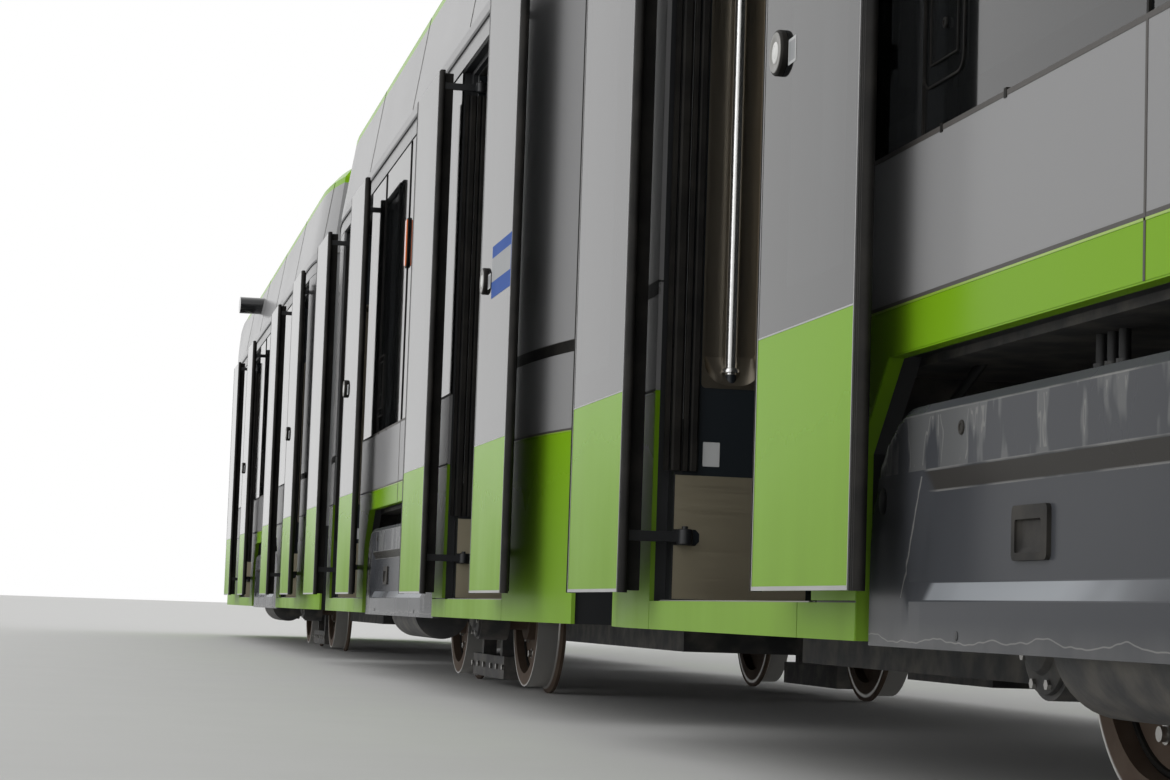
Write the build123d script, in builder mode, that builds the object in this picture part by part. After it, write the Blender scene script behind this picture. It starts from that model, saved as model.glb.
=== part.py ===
"""Three-section low-floor tram with open double doors on its platform side.

Millimetres. X runs along the tram and is 0 over the middle bogie, Y runs across it and
Z is up from the tips of the wheel flanges. The platform side is -Y.
"""
import os
from math import cos, radians, sin, tan

from build123d import *

os.makedirs("parts", exist_ok=True)

# Wheels and rails
flange_depth = 25.0
wheel_diameter = 600.0
wheelbase = 1850.0
track_gauge = 1435.0
flange_width = 30.0
tread_width = 85.0
rim_depth = 55.0
web_thickness = 34.0
hub_diameter = 210.0
axle_diameter = 130.0
bearing_gap = 1.0

# Body sections, measured from the centre of each bogie
body_width = 2500.0
bogie_spacing = 8140.0
joint_gap = 600.0
cab_start = 4510.0
cab_length = 2000.0
end_inset = 80.0
end_curve = 800.0

# Heights
sill_bottom = 305.0
floor_top = 375.0
belt_height = 1180.0
window_top = 2475.0
cantrail = 2555.0
roof_edge = 3125.0
arch_height = 815.0
aisle_top = 480.0
wheelbox_top = 830.0

# Walls, floor and roof
skin_thickness = 12.0
wall_thickness = 50.0
glass_thickness = 8.0
panel_seam = 4.0
seat_gap = 0.3
threshold = 8.0
floor_shell = 30.0
aisle_floor = 40.0
aisle_half = 440.0
belly_bottom = 225.0
belly_half = 720.0
belly_gap = 60.0
roof_deck = 60.0
fairing_wall = 30.0
fairing_lean = 9.0
roof_cap = 70.0
roof_cap_lean = 42.0

# Doorways and door leaves
door_offset = 2250.0
door_clear = 1300.0
leaf_width = 630.0
leaf_thickness = 40.0
leaf_bottom = 395.0
leaf_top = 2455.0
leaf_glass_bottom = 893.0
leaf_window_margin = 80.0
leaf_button_margin = 190.0
leaf_pushed_out = 100.0
leaf_slid = 600.0
closing_seal = 30.0
outer_seal = 40.0
seal_step = 4.0
leaf_meeting_gap = 1.0
recess_gap = 6.0
button_height = 1445.0
button_diameter = 88.0
button_stands_out = 28.0
button_from_edge = 120.0
guide_arm_heights = (535.0, 2400.0)
guide_arm_height = 26.0
guide_arm_width = 15.0
guide_arm_reach = 5.0
guide_roller = 20.0
strip_overlap = 610.0

# Bogie arch and shroud
arch_half = 1260.0
arch_corner = 165.0
shroud_half = 1215.0
shroud_bottom = 298.0
shroud_top = 715.0
shroud_thickness = 24.0
shroud_corner = 230.0
shroud_pressing = (378.0, 600.0)
shroud_pressing_from_end = 312.0
shroud_pressing_depth = 16.0
shroud_pressing_slope = 60.0

# Windows
window_margin = 60.0
glass_split = 940.0
end_pillar = 100.0

# Bogie frame
bearing_y = 945.0
frame_beam = 80.0
beam_top = 470.0
beam_bottom = 380.0
beam_dip = 70.0
beam_dip_top_half = 400.0
beam_dip_bottom_half = 540.0
beam_dip_slope = 100.0
axlebox_radius = 110.0
axlebox_length = 120.0
cross_tube = 140.0
cross_tube_x = 260.0
cross_tube_height = 350.0
bolster_half = 350.0
bolster_top = 410.0
motor_diameter = 240.0
motor_overlap = 20.0
motor_half_length = 420.0
spring_radius = 80.0
spring_x = 210.0
spring_seat = 20.0
spring_clearance = 10.0
slewing_radius = 260.0
brake_half_length = 430.0
brake_above_rail = 12.0
brake_height = 100.0
brake_width = 90.0
brake_hanger = 60.0
shroud_bracket_from_end = 330.0
shroud_bracket = 40.0
axle_end_play = 5.0
flange_tip = 14.0
hose_diameter = 36.0
hose_pitch = 70.0

# Articulation
gangway_width = 1400.0
turntable_radius = 640.0
turntable_gap = 10.0
turntable_plate = 25.0
turntable_hub = 240.0
pivot_diameter = 120.0
pin_bottom = 172.0
lug_thickness = 60.0
lug_gap = 8.0
lug_radius = 180.0
lug_reach = -330.0
bellows_folds = 7
bellows_depth = 70.0
bellows_side = 1050.0
bellows_bottom = 385.0
bellows_top = 2650.0
bellows_corner = 160.0
bellows_fold_angle = 40.0

# Nose
nose_wall = 50.0
nose_taper_length = 1300.0
nose_taper = 130.0
nose_corner_back = 233.0
nose_corner_half = 800.0
apron_back = 160.0
apron_bulge = (45.0, 520.0)
bumper_height = 820.0
windscreen_foot = (25.0, 1150.0)
windscreen_bulge = (250.0, 1900.0)
brow = (640.0, 2600.0)
brow_bulge = (1000.0, 2925.0)
brow_end = (1500.0, 3080.0)
windscreen_half = 930.0
windscreen_top = 2500.0
windscreen_reach = 1000.0
cab_window_start = 250.0
cab_window_end = 1000.0
cab_glass_thickness = 10.0
lamp_reach = 650.0
lamp_inner = 620.0
lamp_outer = 900.0
lamp_bottom = 760.0
lamp_top = 890.0

# Camera pods over the outermost doors
pod_height = 2895.0
pod_length = 250.0
pod_depth = 140.0
pod_reach = 1400.0

# Seats, poles and door pillars
pillar_depth = 330.0
pillar_width = 68.0
pillar_recess = (920.0, 2050.0)
pillar_recess_width = 150.0
pillar_recess_from_wall = 48.0
pillar_recess_back = 18.0
pillar_recess_corner = 60.0
pillar_rail = 30.0
pillar_rail_depth = 22.0
pillar_rail_anchor = 20.0
pole_diameter = 35.0
pole_from_door = 760.0
pole_y = 420.0
seat_depth = 430.0
seat_cushion = 90.0
seat_back = 60.0
seat_back_height = 600.0
seat_width = 640.0
bulkhead = 40.0
cab_door_width = 640.0
cab_door_top = 2300.0
seat_from_wall = 20.0
seats_from_bogie = ((-1050.0, 1), (-250.0, -1), (250.0, 1), (1050.0, -1))

# Driver's desk and seat, as distances back from the tip of the nose
desk_profile = ((620.0, floor_top), (760.0, 880.0), (760.0, 940.0), (330.0, 1020.0), (330.0, floor_top))
desk_half = 520.0
driver_cushion = (1390.0, 920.0)
driver_back = 70.0
driver_half = 240.0
driver_seat_height = 760.0
driver_back_height = 720.0
driver_post = 160.0
driver_post_back = 1150.0

# Pantograph on the middle section
insulator_height = 440.0
insulator_diameter = 110.0
base_half_length = 760.0
base_half_width = 450.0
base_tube = 70.0
base_cross_tube = 60.0
base_overhang = 60.0
pivot_above_base = 110.0
pivot_pin = 30.0
pivot_ear_half = 30.0
pivot_ears_y = (90.0, 115.0)
lower_arm_half = 80.0
knee_half = 60.0
lower_arm_length = 1500.0
upper_arm_length = 1680.0
lower_arm_angle = 5.0
upper_arm_angle = 4.0
lower_arm_tube = 110.0
upper_arm_tube = 50.0
upper_arm_half = 110.0
head_half_width = 850.0
strip_half = 600.0
horn_drop = 190.0
strip_apart = 380.0
strip_size = 46.0
head_rise = 70.0
head_ear = 22.0
head_eye = 80.0
head_from_arm = 60.0
upper_arm_eye = 90.0
upper_arm_eye_half = 25.0

# Equipment boxes on the roof deck: start, length, width and height of each
roof_boxes_middle = ((-3200, 1500, 1500, 500), (1700, 1500, 1500, 500))
roof_boxes_end = ((-3100, 2200, 1700, 560), (-500, 2000, 1600, 480), (1900, 2300, 1800, 600))
roof_box_lid = 0.2
roof_box_slope = 40.0
roof_fan_share = 0.34
roof_fan_rise = 35.0

# Worked out from the sizes above
half_width = body_width / 2
end_half_width = half_width - end_inset
joint_end = bogie_spacing / 2 - joint_gap / 2
articulation = bogie_spacing / 2
wheel_radius = wheel_diameter / 2
axle_height = flange_depth + wheel_radius
box_half = arch_half + 70.0
wall_inner = skin_thickness + wall_thickness
leaf_half_recess = leaf_width + closing_seal + outer_seal + recess_gap
door_edge_near = door_offset - leaf_half_recess
door_edge_far = door_offset + leaf_half_recess
leaf_rest_y = half_width - leaf_thickness
section_nose = cab_start + cab_length
deck_top = cantrail + roof_deck
lean_run = (roof_edge - roof_cap - deck_top) * tan(radians(fairing_lean))

# Sections of the body: name, and the end of the tram that each stands at
sections = (("near", 1), ("middle", 0), ("far", -1))


def block(x_range, y_range, z_range, mode=Mode.ADD):
    """A box between two values on each axis."""
    low = [min(r) for r in (x_range, y_range, z_range)]
    high = [max(r) for r in (x_range, y_range, z_range)]
    with Locations(tuple((a + b) / 2 for a, b in zip(low, high))):
        Box(*[b - a for a, b in zip(low, high)], mode=mode)


def drum(x, y, z_range, radius, mode=Mode.ADD):
    """An upright cylinder between two heights."""
    with Locations((x, y, (z_range[0] + z_range[1]) / 2)):
        Cylinder(radius, z_range[1] - z_range[0], mode=mode)


def rod(start, end, diameter, mode=Mode.ADD):
    """A round bar from one point to another."""
    run = Vector(*end) - Vector(*start)
    square = Plane(origin=start, z_dir=run)
    with BuildSketch(Plane(origin=start, x_dir=square.x_dir + square.y_dir, z_dir=run)) as section:
        Circle(diameter / 2)
    extrude(section.sketch, amount=run.length, mode=mode)


def finish(piece, name):
    """Names one piece and writes its file."""
    piece.part.label = name
    export_step(piece.part, f"parts/{name}.step")


def section_span(end):
    """The section's two ends along X, measured from its bogie, without the cab."""
    low = -cab_start if end < 0 else -joint_end
    high = cab_start if end > 0 else joint_end
    return low, high


def section_prism(plane, end, inset, z_range, mode=Mode.ADD, lean=0.0):
    """A section's outline from above, drawn in by the inset and raised between two heights."""
    low, high = section_span(end)
    curved_low, curved_high = end >= 0, end <= 0
    spare = body_width / 4
    x_low = low if curved_low else low - spare
    x_high = high if curved_high else high + spare
    y_low = end_half_width if curved_low else half_width
    y_high = end_half_width if curved_high else half_width
    with BuildSketch(plane.offset(z_range[0])) as outline:
        with BuildLine():
            for side in (-1, 1):
                start = (x_low + (end_curve if curved_low else 0), side * half_width)
                stop = (x_high - (end_curve if curved_high else 0), side * half_width)
                Line(start, stop)
                if curved_low:
                    TangentArc(start, (x_low, side * end_half_width), tangent=(-1, 0))
                if curved_high:
                    TangentArc(stop, (x_high, side * end_half_width), tangent=(1, 0))
            Line((x_low, -y_low), (x_low, y_low))
            Line((x_high, -y_high), (x_high, y_high))
        make_face()
        if inset:
            offset(amount=-inset, kind=Kind.INTERSECTION, mode=Mode.REPLACE)
    extrude(outline.sketch, amount=z_range[1] - z_range[0], taper=lean, mode=mode)


def cut_arch(centre, y_range):
    """Cuts the opening over a bogie, with its sloped upper corners."""
    with BuildSketch(Plane.XZ.offset(-max(y_range))) as arch:
        with BuildLine():
            Polyline(
                (centre - arch_half, 0),
                (centre - arch_half, arch_height - arch_corner),
                (centre - arch_half + arch_corner, arch_height),
                (centre + arch_half - arch_corner, arch_height),
                (centre + arch_half, arch_height - arch_corner),
                (centre + arch_half, 0),
                close=True,
            )
        make_face()
    extrude(arch.sketch, amount=max(y_range) - min(y_range), mode=Mode.SUBTRACT)


def glazed_span(end):
    """Where a section's windows reach from its bogie: the bays next to a joint are closed panels."""
    low, high = section_span(end)
    return low if end < 0 else -door_edge_far, high if end > 0 else door_edge_far


def window_spans(end):
    """Window bays of a section along X, as pairs measured from its bogie."""
    low, high = glazed_span(end)
    spans = [(door_edge_far, high), (low, -door_edge_far)]
    spans += [(-glass_split, 0), (0, glass_split)]
    spans += [(glass_split, door_edge_near), (-door_edge_near, -glass_split)]
    return [span for span in spans if span[1] > span[0]]


def window_opening(span, end):
    """The see-through part of a bay, inside its margins."""
    low, high = section_span(end)
    left = window_margin + (end_pillar if span[0] == low else 0)
    right = window_margin + (end_pillar if span[1] == high else 0)
    return span[0] + left, span[1] - right


def leaf_places(end, centre):
    """Door leaves of a section: closing edge, way it slides open, side, and whether open."""
    for door in (centre - door_offset, centre + door_offset):
        for side, is_open in ((-1, True), (1, False)):
            for way in (-1, 1):
                edge = door + way * (leaf_slid if is_open else leaf_meeting_gap / 2)
                yield door, edge, way, side, is_open


def leaf_face(side, is_open):
    """Where a leaf's outer face lies across the tram."""
    return side * (half_width + (leaf_pushed_out if is_open else 0))


# Each section's body is built about its own bogie and written where it stands
for name, end in sections:
    centre = end * bogie_spacing
    here = Plane((centre, 0, 0))
    low, high = section_span(end)
    whole = (centre + low, centre + high)
    glazed = tuple(centre + x for x in glazed_span(end))
    across = (-body_width, body_width)
    joint_sides = [s for s in (-1, 1) if s != end]
    doors = [centre - door_offset, centre + door_offset]
    seam = panel_seam / 2

    # Two floors with their bellies and articulation lugs, and the wheel boxes bolted between them
    with BuildPart() as underframe:
        section_prism(here, end, wall_inner, (sill_bottom, floor_top))
        block(whole, across, (sill_bottom, floor_top), Mode.INTERSECT)
        inner_y = half_width - wall_inner
        for door in doors:
            block((door - door_clear / 2, door + door_clear / 2),
                  (-half_width + skin_thickness, half_width - skin_thickness),
                  (floor_top - threshold, floor_top))
        for side in joint_sides:
            drum(centre + side * articulation, 0, (sill_bottom, floor_top),
                 turntable_radius + turntable_gap, Mode.SUBTRACT)
        block((centre - box_half, centre + box_half), (-inner_y, inner_y), (sill_bottom, wheelbox_top))
        block((centre - box_half, centre + box_half), (-aisle_half, aisle_half),
              (aisle_top, cantrail), Mode.SUBTRACT)
        hollow_x = (centre - box_half + floor_shell, centre + box_half - floor_shell)
        for side in (-1, 1):
            block(hollow_x, (side * (aisle_half + floor_shell), side * half_width),
                  (0, wheelbox_top - floor_shell), Mode.SUBTRACT)
        block(hollow_x, (-aisle_half - floor_shell, aisle_half + floor_shell),
              (0, aisle_top - aisle_floor), Mode.SUBTRACT)
        for side in (-1, 1):
            reach = cab_start if side == end else joint_end - turntable_radius / 2
            block((centre + side * (box_half + belly_gap), centre + side * (reach - belly_gap)),
                  (-belly_half, belly_half), (belly_bottom, sill_bottom))
            block((centre + side * box_half, centre + side * (box_half + seat_gap)),
                  across, (0, cantrail), Mode.SUBTRACT)
        for side in joint_sides:
            pivot_x = centre + side * articulation
            lug_bottom = pin_bottom if end else pin_bottom + lug_thickness + lug_gap
            lug_z = (lug_bottom, lug_bottom + lug_thickness)
            root = centre + side * (joint_end + lug_reach)
            block((pivot_x, root - side * lug_thickness), (-lug_radius, lug_radius), lug_z)
            block((root, root - side * lug_thickness), (-lug_radius, lug_radius), (lug_bottom, sill_bottom))
            drum(pivot_x, 0, lug_z, lug_radius)
            if end:
                drum(pivot_x, 0, lug_z, pivot_diameter / 2 + bearing_gap, Mode.SUBTRACT)
            else:
                drum(pivot_x, 0, (pin_bottom, lug_z[1]), pivot_diameter / 2)
                drum(pivot_x, 0, (lug_z[0], floor_top - turntable_plate), turntable_hub)
                drum(pivot_x, 0, (floor_top - turntable_plate, floor_top), turntable_radius)
    finish(underframe, f"underframe_{name}")

    # Structural side walls, cut for the doorways, windows and bogie arch
    with BuildPart() as walls:
        section_prism(here, end, skin_thickness, (sill_bottom, cantrail))
        section_prism(here, end, wall_inner, (sill_bottom, cantrail), Mode.SUBTRACT)
        block(whole, across, (sill_bottom, cantrail), Mode.INTERSECT)
        block(whole, (-gangway_width / 2, gangway_width / 2), (sill_bottom, cantrail), Mode.SUBTRACT)
        for door in doors:
            block((door - door_clear / 2, door + door_clear / 2), across,
                  (floor_top - threshold, leaf_top), Mode.SUBTRACT)
            for side in (-1, 1):
                block((door - leaf_half_recess, door + leaf_half_recess),
                      (side * (leaf_rest_y - seat_gap), side * body_width),
                      (floor_top, window_top), Mode.SUBTRACT)
        for span in window_spans(end):
            opening = window_opening(span, end)
            block((centre + opening[0], centre + opening[1]), across,
                  (belt_height + window_margin, window_top - window_margin), Mode.SUBTRACT)
        cut_arch(centre, across)
    finish(walls, f"side_walls_{name}")

    # Outer panels: sill strips, skirts, waist panels and the band over the doors
    with BuildPart() as skins:
        section_prism(here, end, 0, (sill_bottom, cantrail))
        section_prism(here, end, skin_thickness, (sill_bottom, cantrail), Mode.SUBTRACT)
        block(whole, across, (sill_bottom, cantrail), Mode.INTERSECT)
        block(whole, (-end_half_width + skin_thickness, end_half_width - skin_thickness),
              (sill_bottom, cantrail), Mode.SUBTRACT)
        block(glazed, across, (belt_height, window_top + panel_seam), Mode.SUBTRACT)
        for span, z in ((doors, floor_top), (whole, belt_height), (whole, window_top)):
            block(span, across, (z, z + panel_seam), Mode.SUBTRACT)
        for door in doors:
            block((door - leaf_half_recess, door + leaf_half_recess), across,
                  (floor_top, window_top), Mode.SUBTRACT)
            inward = 1 if door < centre else -1
            strip_z = (sill_bottom, floor_top)
            for x, z_range in ((door, (window_top, cantrail)), (door + inward * strip_overlap, strip_z),
                               (door - inward * leaf_half_recess, strip_z)):
                block((x - seam, x + seam), across, z_range, Mode.SUBTRACT)
        block((centre - seam, centre + seam), across, (sill_bottom, cantrail), Mode.SUBTRACT)
        cut_arch(centre, across)
    finish(skins, f"skins_{name}")

    # Bonded panes of the side windows and the door leaves
    with BuildPart() as glazing:
        section_prism(here, end, skin_thickness - glass_thickness, (belt_height + panel_seam, window_top))
        section_prism(here, end, skin_thickness, (belt_height, window_top), Mode.SUBTRACT)
        block(glazed, across, (sill_bottom, cantrail), Mode.INTERSECT)
        block(whole, (-end_half_width + skin_thickness, end_half_width - skin_thickness),
              (sill_bottom, cantrail), Mode.SUBTRACT)
        for door in doors:
            block((door - leaf_half_recess, door + leaf_half_recess), across,
                  (floor_top, window_top), Mode.SUBTRACT)
        for x in (centre - glass_split, centre, centre + glass_split):
            block((x - seam, x + seam), across, (belt_height, window_top), Mode.SUBTRACT)
        for door, edge, way, side, is_open in leaf_places(end, centre):
            outer = leaf_face(side, is_open)
            start = edge + way * closing_seal
            block((start, start + way * leaf_width), (outer, outer - side * glass_thickness),
                  (leaf_glass_bottom, leaf_top))
            if way == -side:
                hole = (start + way * button_from_edge, outer, button_height)
                inside = (hole[0], outer - side * leaf_thickness, hole[2])
                rod(hole, inside, button_diameter + 2 * seat_gap, Mode.SUBTRACT)
    finish(glazing, f"glazing_{name}")

    # Door leaves with their rubber edges, push buttons and guide arms
    with BuildPart() as leaves:
        for door, edge, way, side, is_open in leaf_places(end, centre):
            outer = leaf_face(side, is_open)
            inner = outer - side * leaf_thickness
            start = edge + way * closing_seal
            stop = start + way * leaf_width
            glass_back = outer - side * glass_thickness
            block((start, stop), (outer, inner), (leaf_bottom, leaf_top))
            block((start, stop), (outer, glass_back), (leaf_glass_bottom, leaf_top), Mode.SUBTRACT)
            block((start + way * leaf_button_margin, stop - way * leaf_window_margin), (outer, inner),
                  (leaf_glass_bottom + leaf_window_margin, leaf_top - leaf_window_margin), Mode.SUBTRACT)
            for seal in ((edge, start), (stop, stop + way * outer_seal)):
                block(seal, (outer - side * seal_step, inner + side * seal_step), (leaf_bottom, leaf_top))
            if way == -side:
                x = start + way * button_from_edge
                rod((x, glass_back, button_height), (x, outer + side * button_stands_out, button_height),
                    button_diameter)
            if is_open:
                jamb = door + way * door_clear / 2
                arm = (jamb - way * 2, jamb - way * (2 + guide_arm_width))
                root = side * (half_width - wall_inner - guide_arm_reach)
                for height in guide_arm_heights:
                    arm_z = (height - guide_arm_height / 2, height + guide_arm_height / 2)
                    block(arm, (root, inner), arm_z)
                    block((jamb, arm[1]), (side * (half_width - wall_inner), side * leaf_rest_y), arm_z)
                    roller_z = (height - guide_roller, height + guide_roller)
                    drum(jamb - way * (guide_roller + 4), root, roller_z, guide_roller)
    finish(leaves, f"doors_{name}")

    # Roof deck with the side fairings that lean in to the roof edge
    with BuildPart() as roof:
        fairing_z = (deck_top, roof_edge - roof_cap)
        cap_z = (roof_edge - roof_cap, roof_edge)
        section_prism(here, end, 0, fairing_z, lean=fairing_lean)
        section_prism(here, end, lean_run, cap_z, lean=roof_cap_lean)
        section_prism(here, end, fairing_wall, fairing_z, Mode.SUBTRACT, lean=fairing_lean)
        section_prism(here, end, lean_run + fairing_wall, cap_z, Mode.SUBTRACT, lean=roof_cap_lean)
        section_prism(here, end, 0, (cantrail, deck_top))
        block(whole, across, (cantrail, roof_edge), Mode.INTERSECT)
    finish(roof, f"roof_{name}")

    # Equipment boxes on the roof deck, with sloped lids and round fan housings
    with BuildPart() as equipment:
        for start, length, width, height in (roof_boxes_end if end else roof_boxes_middle):
            box_x = (end if end else 1) * (start + length / 2)
            lid = height * roof_box_lid
            lid_z = deck_top + height - lid
            for z, rise, slope in ((deck_top, height - lid, 0), (lid_z, lid, roof_box_slope)):
                with BuildSketch(here.offset(z)) as foot:
                    with Locations((box_x, 0)):
                        Rectangle(length, width)
                extrude(foot.sketch, amount=rise, taper=slope)
            for fan in (-1, 1):
                drum(centre + box_x + fan * length / 4, 0,
                     (deck_top + height - roof_fan_rise, deck_top + height + roof_fan_rise),
                     width * roof_fan_share / 2)
    finish(equipment, f"roof_equipment_{name}")

    # Door pillars with their grab rails, poles, seats and, at the cab, the bulkhead, desk and driver's seat
    with BuildPart() as interior:
        for door in doors:
            for way in (-1, 1):
                jamb = door + way * door_clear / 2
                for side in (-1, 1):
                    block((jamb, jamb + way * pillar_width),
                          (side * inner_y, side * (inner_y - pillar_depth)), (floor_top, leaf_top))
                    rail_y = side * (inner_y - pillar_recess_from_wall - pillar_recess_width / 2)
                    low_z, high_z = pillar_recess
                    face = Plane((jamb, rail_y, (low_z + high_z) / 2), x_dir=(0, 1, 0), z_dir=(way, 0, 0))
                    with BuildSketch(face) as recess:
                        RectangleRounded(pillar_recess_width, high_z - low_z, pillar_recess_corner)
                    extrude(recess.sketch, amount=pillar_width - pillar_recess_back, mode=Mode.SUBTRACT)
                    drum(jamb + way * pillar_rail_depth, rail_y,
                         (low_z - pillar_rail_anchor, high_z + pillar_rail_anchor), pillar_rail / 2)
                    drum(door + way * pole_from_door, side * pole_y, (floor_top, cantrail),
                         pole_diameter / 2)
        for from_bogie, facing in seats_from_bogie:
            x = centre + from_bogie
            back = x - facing * seat_depth / 2
            for side in (-1, 1):
                y_range = (side * (inner_y - seat_from_wall), side * (inner_y - seat_from_wall - seat_width))
                block((x - seat_depth / 2, x + seat_depth / 2), y_range,
                      (wheelbox_top, wheelbox_top + seat_cushion))
                block((back, back + facing * seat_back), y_range,
                      (wheelbox_top, wheelbox_top + seat_back_height))
        if end:
            wall_x = (centre + end * (cab_start - bulkhead), centre + end * cab_start)
            block(wall_x, (-inner_y, inner_y), (floor_top, cantrail))
            block(wall_x, (-cab_door_width / 2, cab_door_width / 2), (floor_top, cab_door_top),
                  Mode.SUBTRACT)
            tip_x = centre + end * section_nose
            with BuildSketch(Plane.XZ) as desk:
                with BuildLine():
                    Polyline(*[(tip_x - end * back, height) for back, height in desk_profile], close=True)
                make_face()
            extrude(desk.sketch, amount=desk_half, both=True)
            rear, front = [tip_x - end * back for back in driver_cushion]
            cushion_z = (driver_seat_height, driver_seat_height + seat_cushion)
            block((rear, front), (-driver_half, driver_half), cushion_z)
            block((rear, rear - end * driver_back), (-driver_half, driver_half),
                  (driver_seat_height, driver_seat_height + driver_back_height))
            drum(tip_x - end * driver_post_back, 0, (floor_top, driver_seat_height), driver_post / 2)
    finish(interior, f"interior_{name}")

    # Bogie frame with its axleboxes, cross tubes, motors, springs and track brakes
    with BuildPart() as frame:
        outer_y = bearing_y + frame_beam / 2
        spring_top = wheelbox_top - floor_shell - spring_clearance
        for side in (-1, 1):
            with BuildSketch(Plane.XZ.offset(-side * bearing_y)) as beam:
                with BuildLine():
                    dip_top = beam_top - beam_dip
                    dip_bottom = beam_bottom - beam_dip
                    for way in (-1, 1):
                        reach = centre + way * (wheelbase / 2 + axlebox_radius)
                        top_x = centre + way * beam_dip_top_half
                        bottom_x = centre + way * beam_dip_bottom_half
                        slope = way * beam_dip_slope
                        Polyline(
                            (centre, dip_top), (top_x, dip_top), (top_x + slope, beam_top), (reach, beam_top),
                            (reach, beam_bottom), (bottom_x + slope, beam_bottom), (bottom_x, dip_bottom),
                            (centre, dip_bottom),
                        )
                make_face()
            extrude(beam.sketch, amount=frame_beam / 2, both=True)
            near, far = side * (bearing_y - axlebox_length / 2), side * (bearing_y + axlebox_length / 2)
            for way in (-1, 1):
                axle_x = centre + way * wheelbase / 2
                rod((axle_x, near, axle_height), (axle_x, far, axle_height), 2 * axlebox_radius)
                rod((axle_x, near, axle_height), (axle_x, far, axle_height),
                    axle_diameter + 2 * bearing_gap, Mode.SUBTRACT)
                bracket_x = centre + way * (shroud_half - shroud_bracket_from_end)
                block((bracket_x, bracket_x + shroud_bracket),
                      (side * bearing_y, side * (half_width - shroud_thickness)),
                      (beam_top - shroud_bracket, beam_top))
                drum(centre + way * spring_x, side * bearing_y,
                     (beam_top - beam_dip - spring_seat, spring_top), spring_radius)
            motor_y = side * (outer_y + motor_diameter / 2 - motor_overlap)
            rod((centre - motor_half_length, motor_y, axle_height),
                (centre + motor_half_length, motor_y, axle_height), motor_diameter)
            for hose in (-1, 0, 1):
                drum(centre + hose * hose_pitch, motor_y, (axle_height, spring_top), hose_diameter / 2)
            brake_y = side * (track_gauge / 2 + tread_width / 2)
            brake_z = (flange_depth + brake_above_rail, flange_depth + brake_above_rail + brake_height)
            block((centre - brake_half_length, centre + brake_half_length),
                  (brake_y - brake_width / 2, brake_y + brake_width / 2), brake_z)
            for way in (-1, 1):
                hanger = centre + way * cross_tube_x
                block((hanger - brake_hanger / 2, hanger + brake_hanger / 2),
                      (brake_y - brake_hanger / 2, brake_y + brake_hanger / 2),
                      (brake_z[1], cross_tube_height))
        for way in (-1, 1):
            tube_x = centre + way * cross_tube_x
            rod((tube_x, -bearing_y, cross_tube_height), (tube_x, bearing_y, cross_tube_height), cross_tube)
        block((centre - cross_tube_x, centre + cross_tube_x), (-bolster_half, bolster_half),
              (cross_tube_height - cross_tube / 5, bolster_top))
        drum(centre, 0, (bolster_top, aisle_top - aisle_floor - seat_gap), slewing_radius)
    finish(frame, f"bogie_frame_{name}")

    # Shrouds over the wheels, carried by the bogie, with a long panel pressed in
    with BuildPart() as shrouds:
        for side in (-1, 1):
            with BuildSketch(Plane.XZ.offset(-side * (half_width - shroud_thickness / 2))) as face:
                with Locations((centre, (shroud_bottom + shroud_top) / 2)):
                    Rectangle(2 * shroud_half, shroud_top - shroud_bottom)
                upper = face.vertices().group_by(Axis.Y)[-1]
                fillet(upper, radius=shroud_corner)
            extrude(face.sketch, amount=shroud_thickness / 2, both=True)
            low_z, high_z = shroud_pressing
            outer_face = Plane((centre, side * half_width, (low_z + high_z) / 2), x_dir=(1, 0, 0),
                               z_dir=(0, -side, 0))
            with BuildSketch(outer_face) as pressing:
                Rectangle(2 * (shroud_half - shroud_pressing_from_end), high_z - low_z)
            extrude(pressing.sketch, amount=shroud_pressing_depth, taper=shroud_pressing_slope,
                    mode=Mode.SUBTRACT)
    finish(shrouds, f"shrouds_{name}")

    # Two wheelsets: wheels pressed on an axle that runs in the axleboxes
    for axle_name, way in (("a", 1), ("b", -1)):
        axle_x = centre + way * wheelbase / 2
        with BuildPart() as wheelset:
            axle_end = bearing_y + axlebox_length / 2 - axle_end_play
            rod((axle_x, -axle_end, axle_height), (axle_x, axle_end, axle_height), axle_diameter)
            back = track_gauge / 2 - flange_width
            edge = track_gauge / 2 + tread_width
            middle = (back + edge) / 2
            rim = wheel_radius - rim_depth
            hub = hub_diameter / 2
            flange_rim = wheel_radius + flange_depth
            for side in (-1, 1):
                half_section = Plane((axle_x, 0, axle_height), x_dir=(0, side, 0), z_dir=(-side, 0, 0))
                with BuildSketch(half_section) as wheel:
                    with BuildLine():
                        Polyline(
                            (back, 0), (back, hub), (middle - web_thickness / 2, hub),
                            (middle - web_thickness / 2, rim), (back, rim),
                            (back, flange_rim), (back + flange_tip, flange_rim),
                            (back + flange_width, wheel_radius), (edge, wheel_radius), (edge, rim),
                            (middle + web_thickness / 2, rim), (middle + web_thickness / 2, hub),
                            (edge, hub), (edge, 0), close=True,
                        )
                    make_face()
                revolve(wheel.sketch, axis=Axis((axle_x, 0, axle_height), (0, 1, 0)))
        finish(wheelset, f"wheelset_{name}_{axle_name}")

    # Camera pods over the outermost doors, each on the roof fairing
    if end:
        with BuildPart() as pods:
            for side in (-1, 1):
                pod_x = centre + end * door_offset
                face = Plane((pod_x, 0, pod_height), x_dir=(1, 0, 0), z_dir=(0, side, 0))
                with BuildSketch(face.offset(end_half_width)) as pod:
                    Ellipse(pod_length / 2, pod_depth / 2)
                extrude(pod.sketch, amount=pod_reach - end_half_width)
            fairing_z = (deck_top, roof_edge - roof_cap)
            section_prism(here, end, 0, fairing_z, Mode.SUBTRACT, lean=fairing_lean)
        finish(pods, f"camera_pods_{name}")

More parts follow.
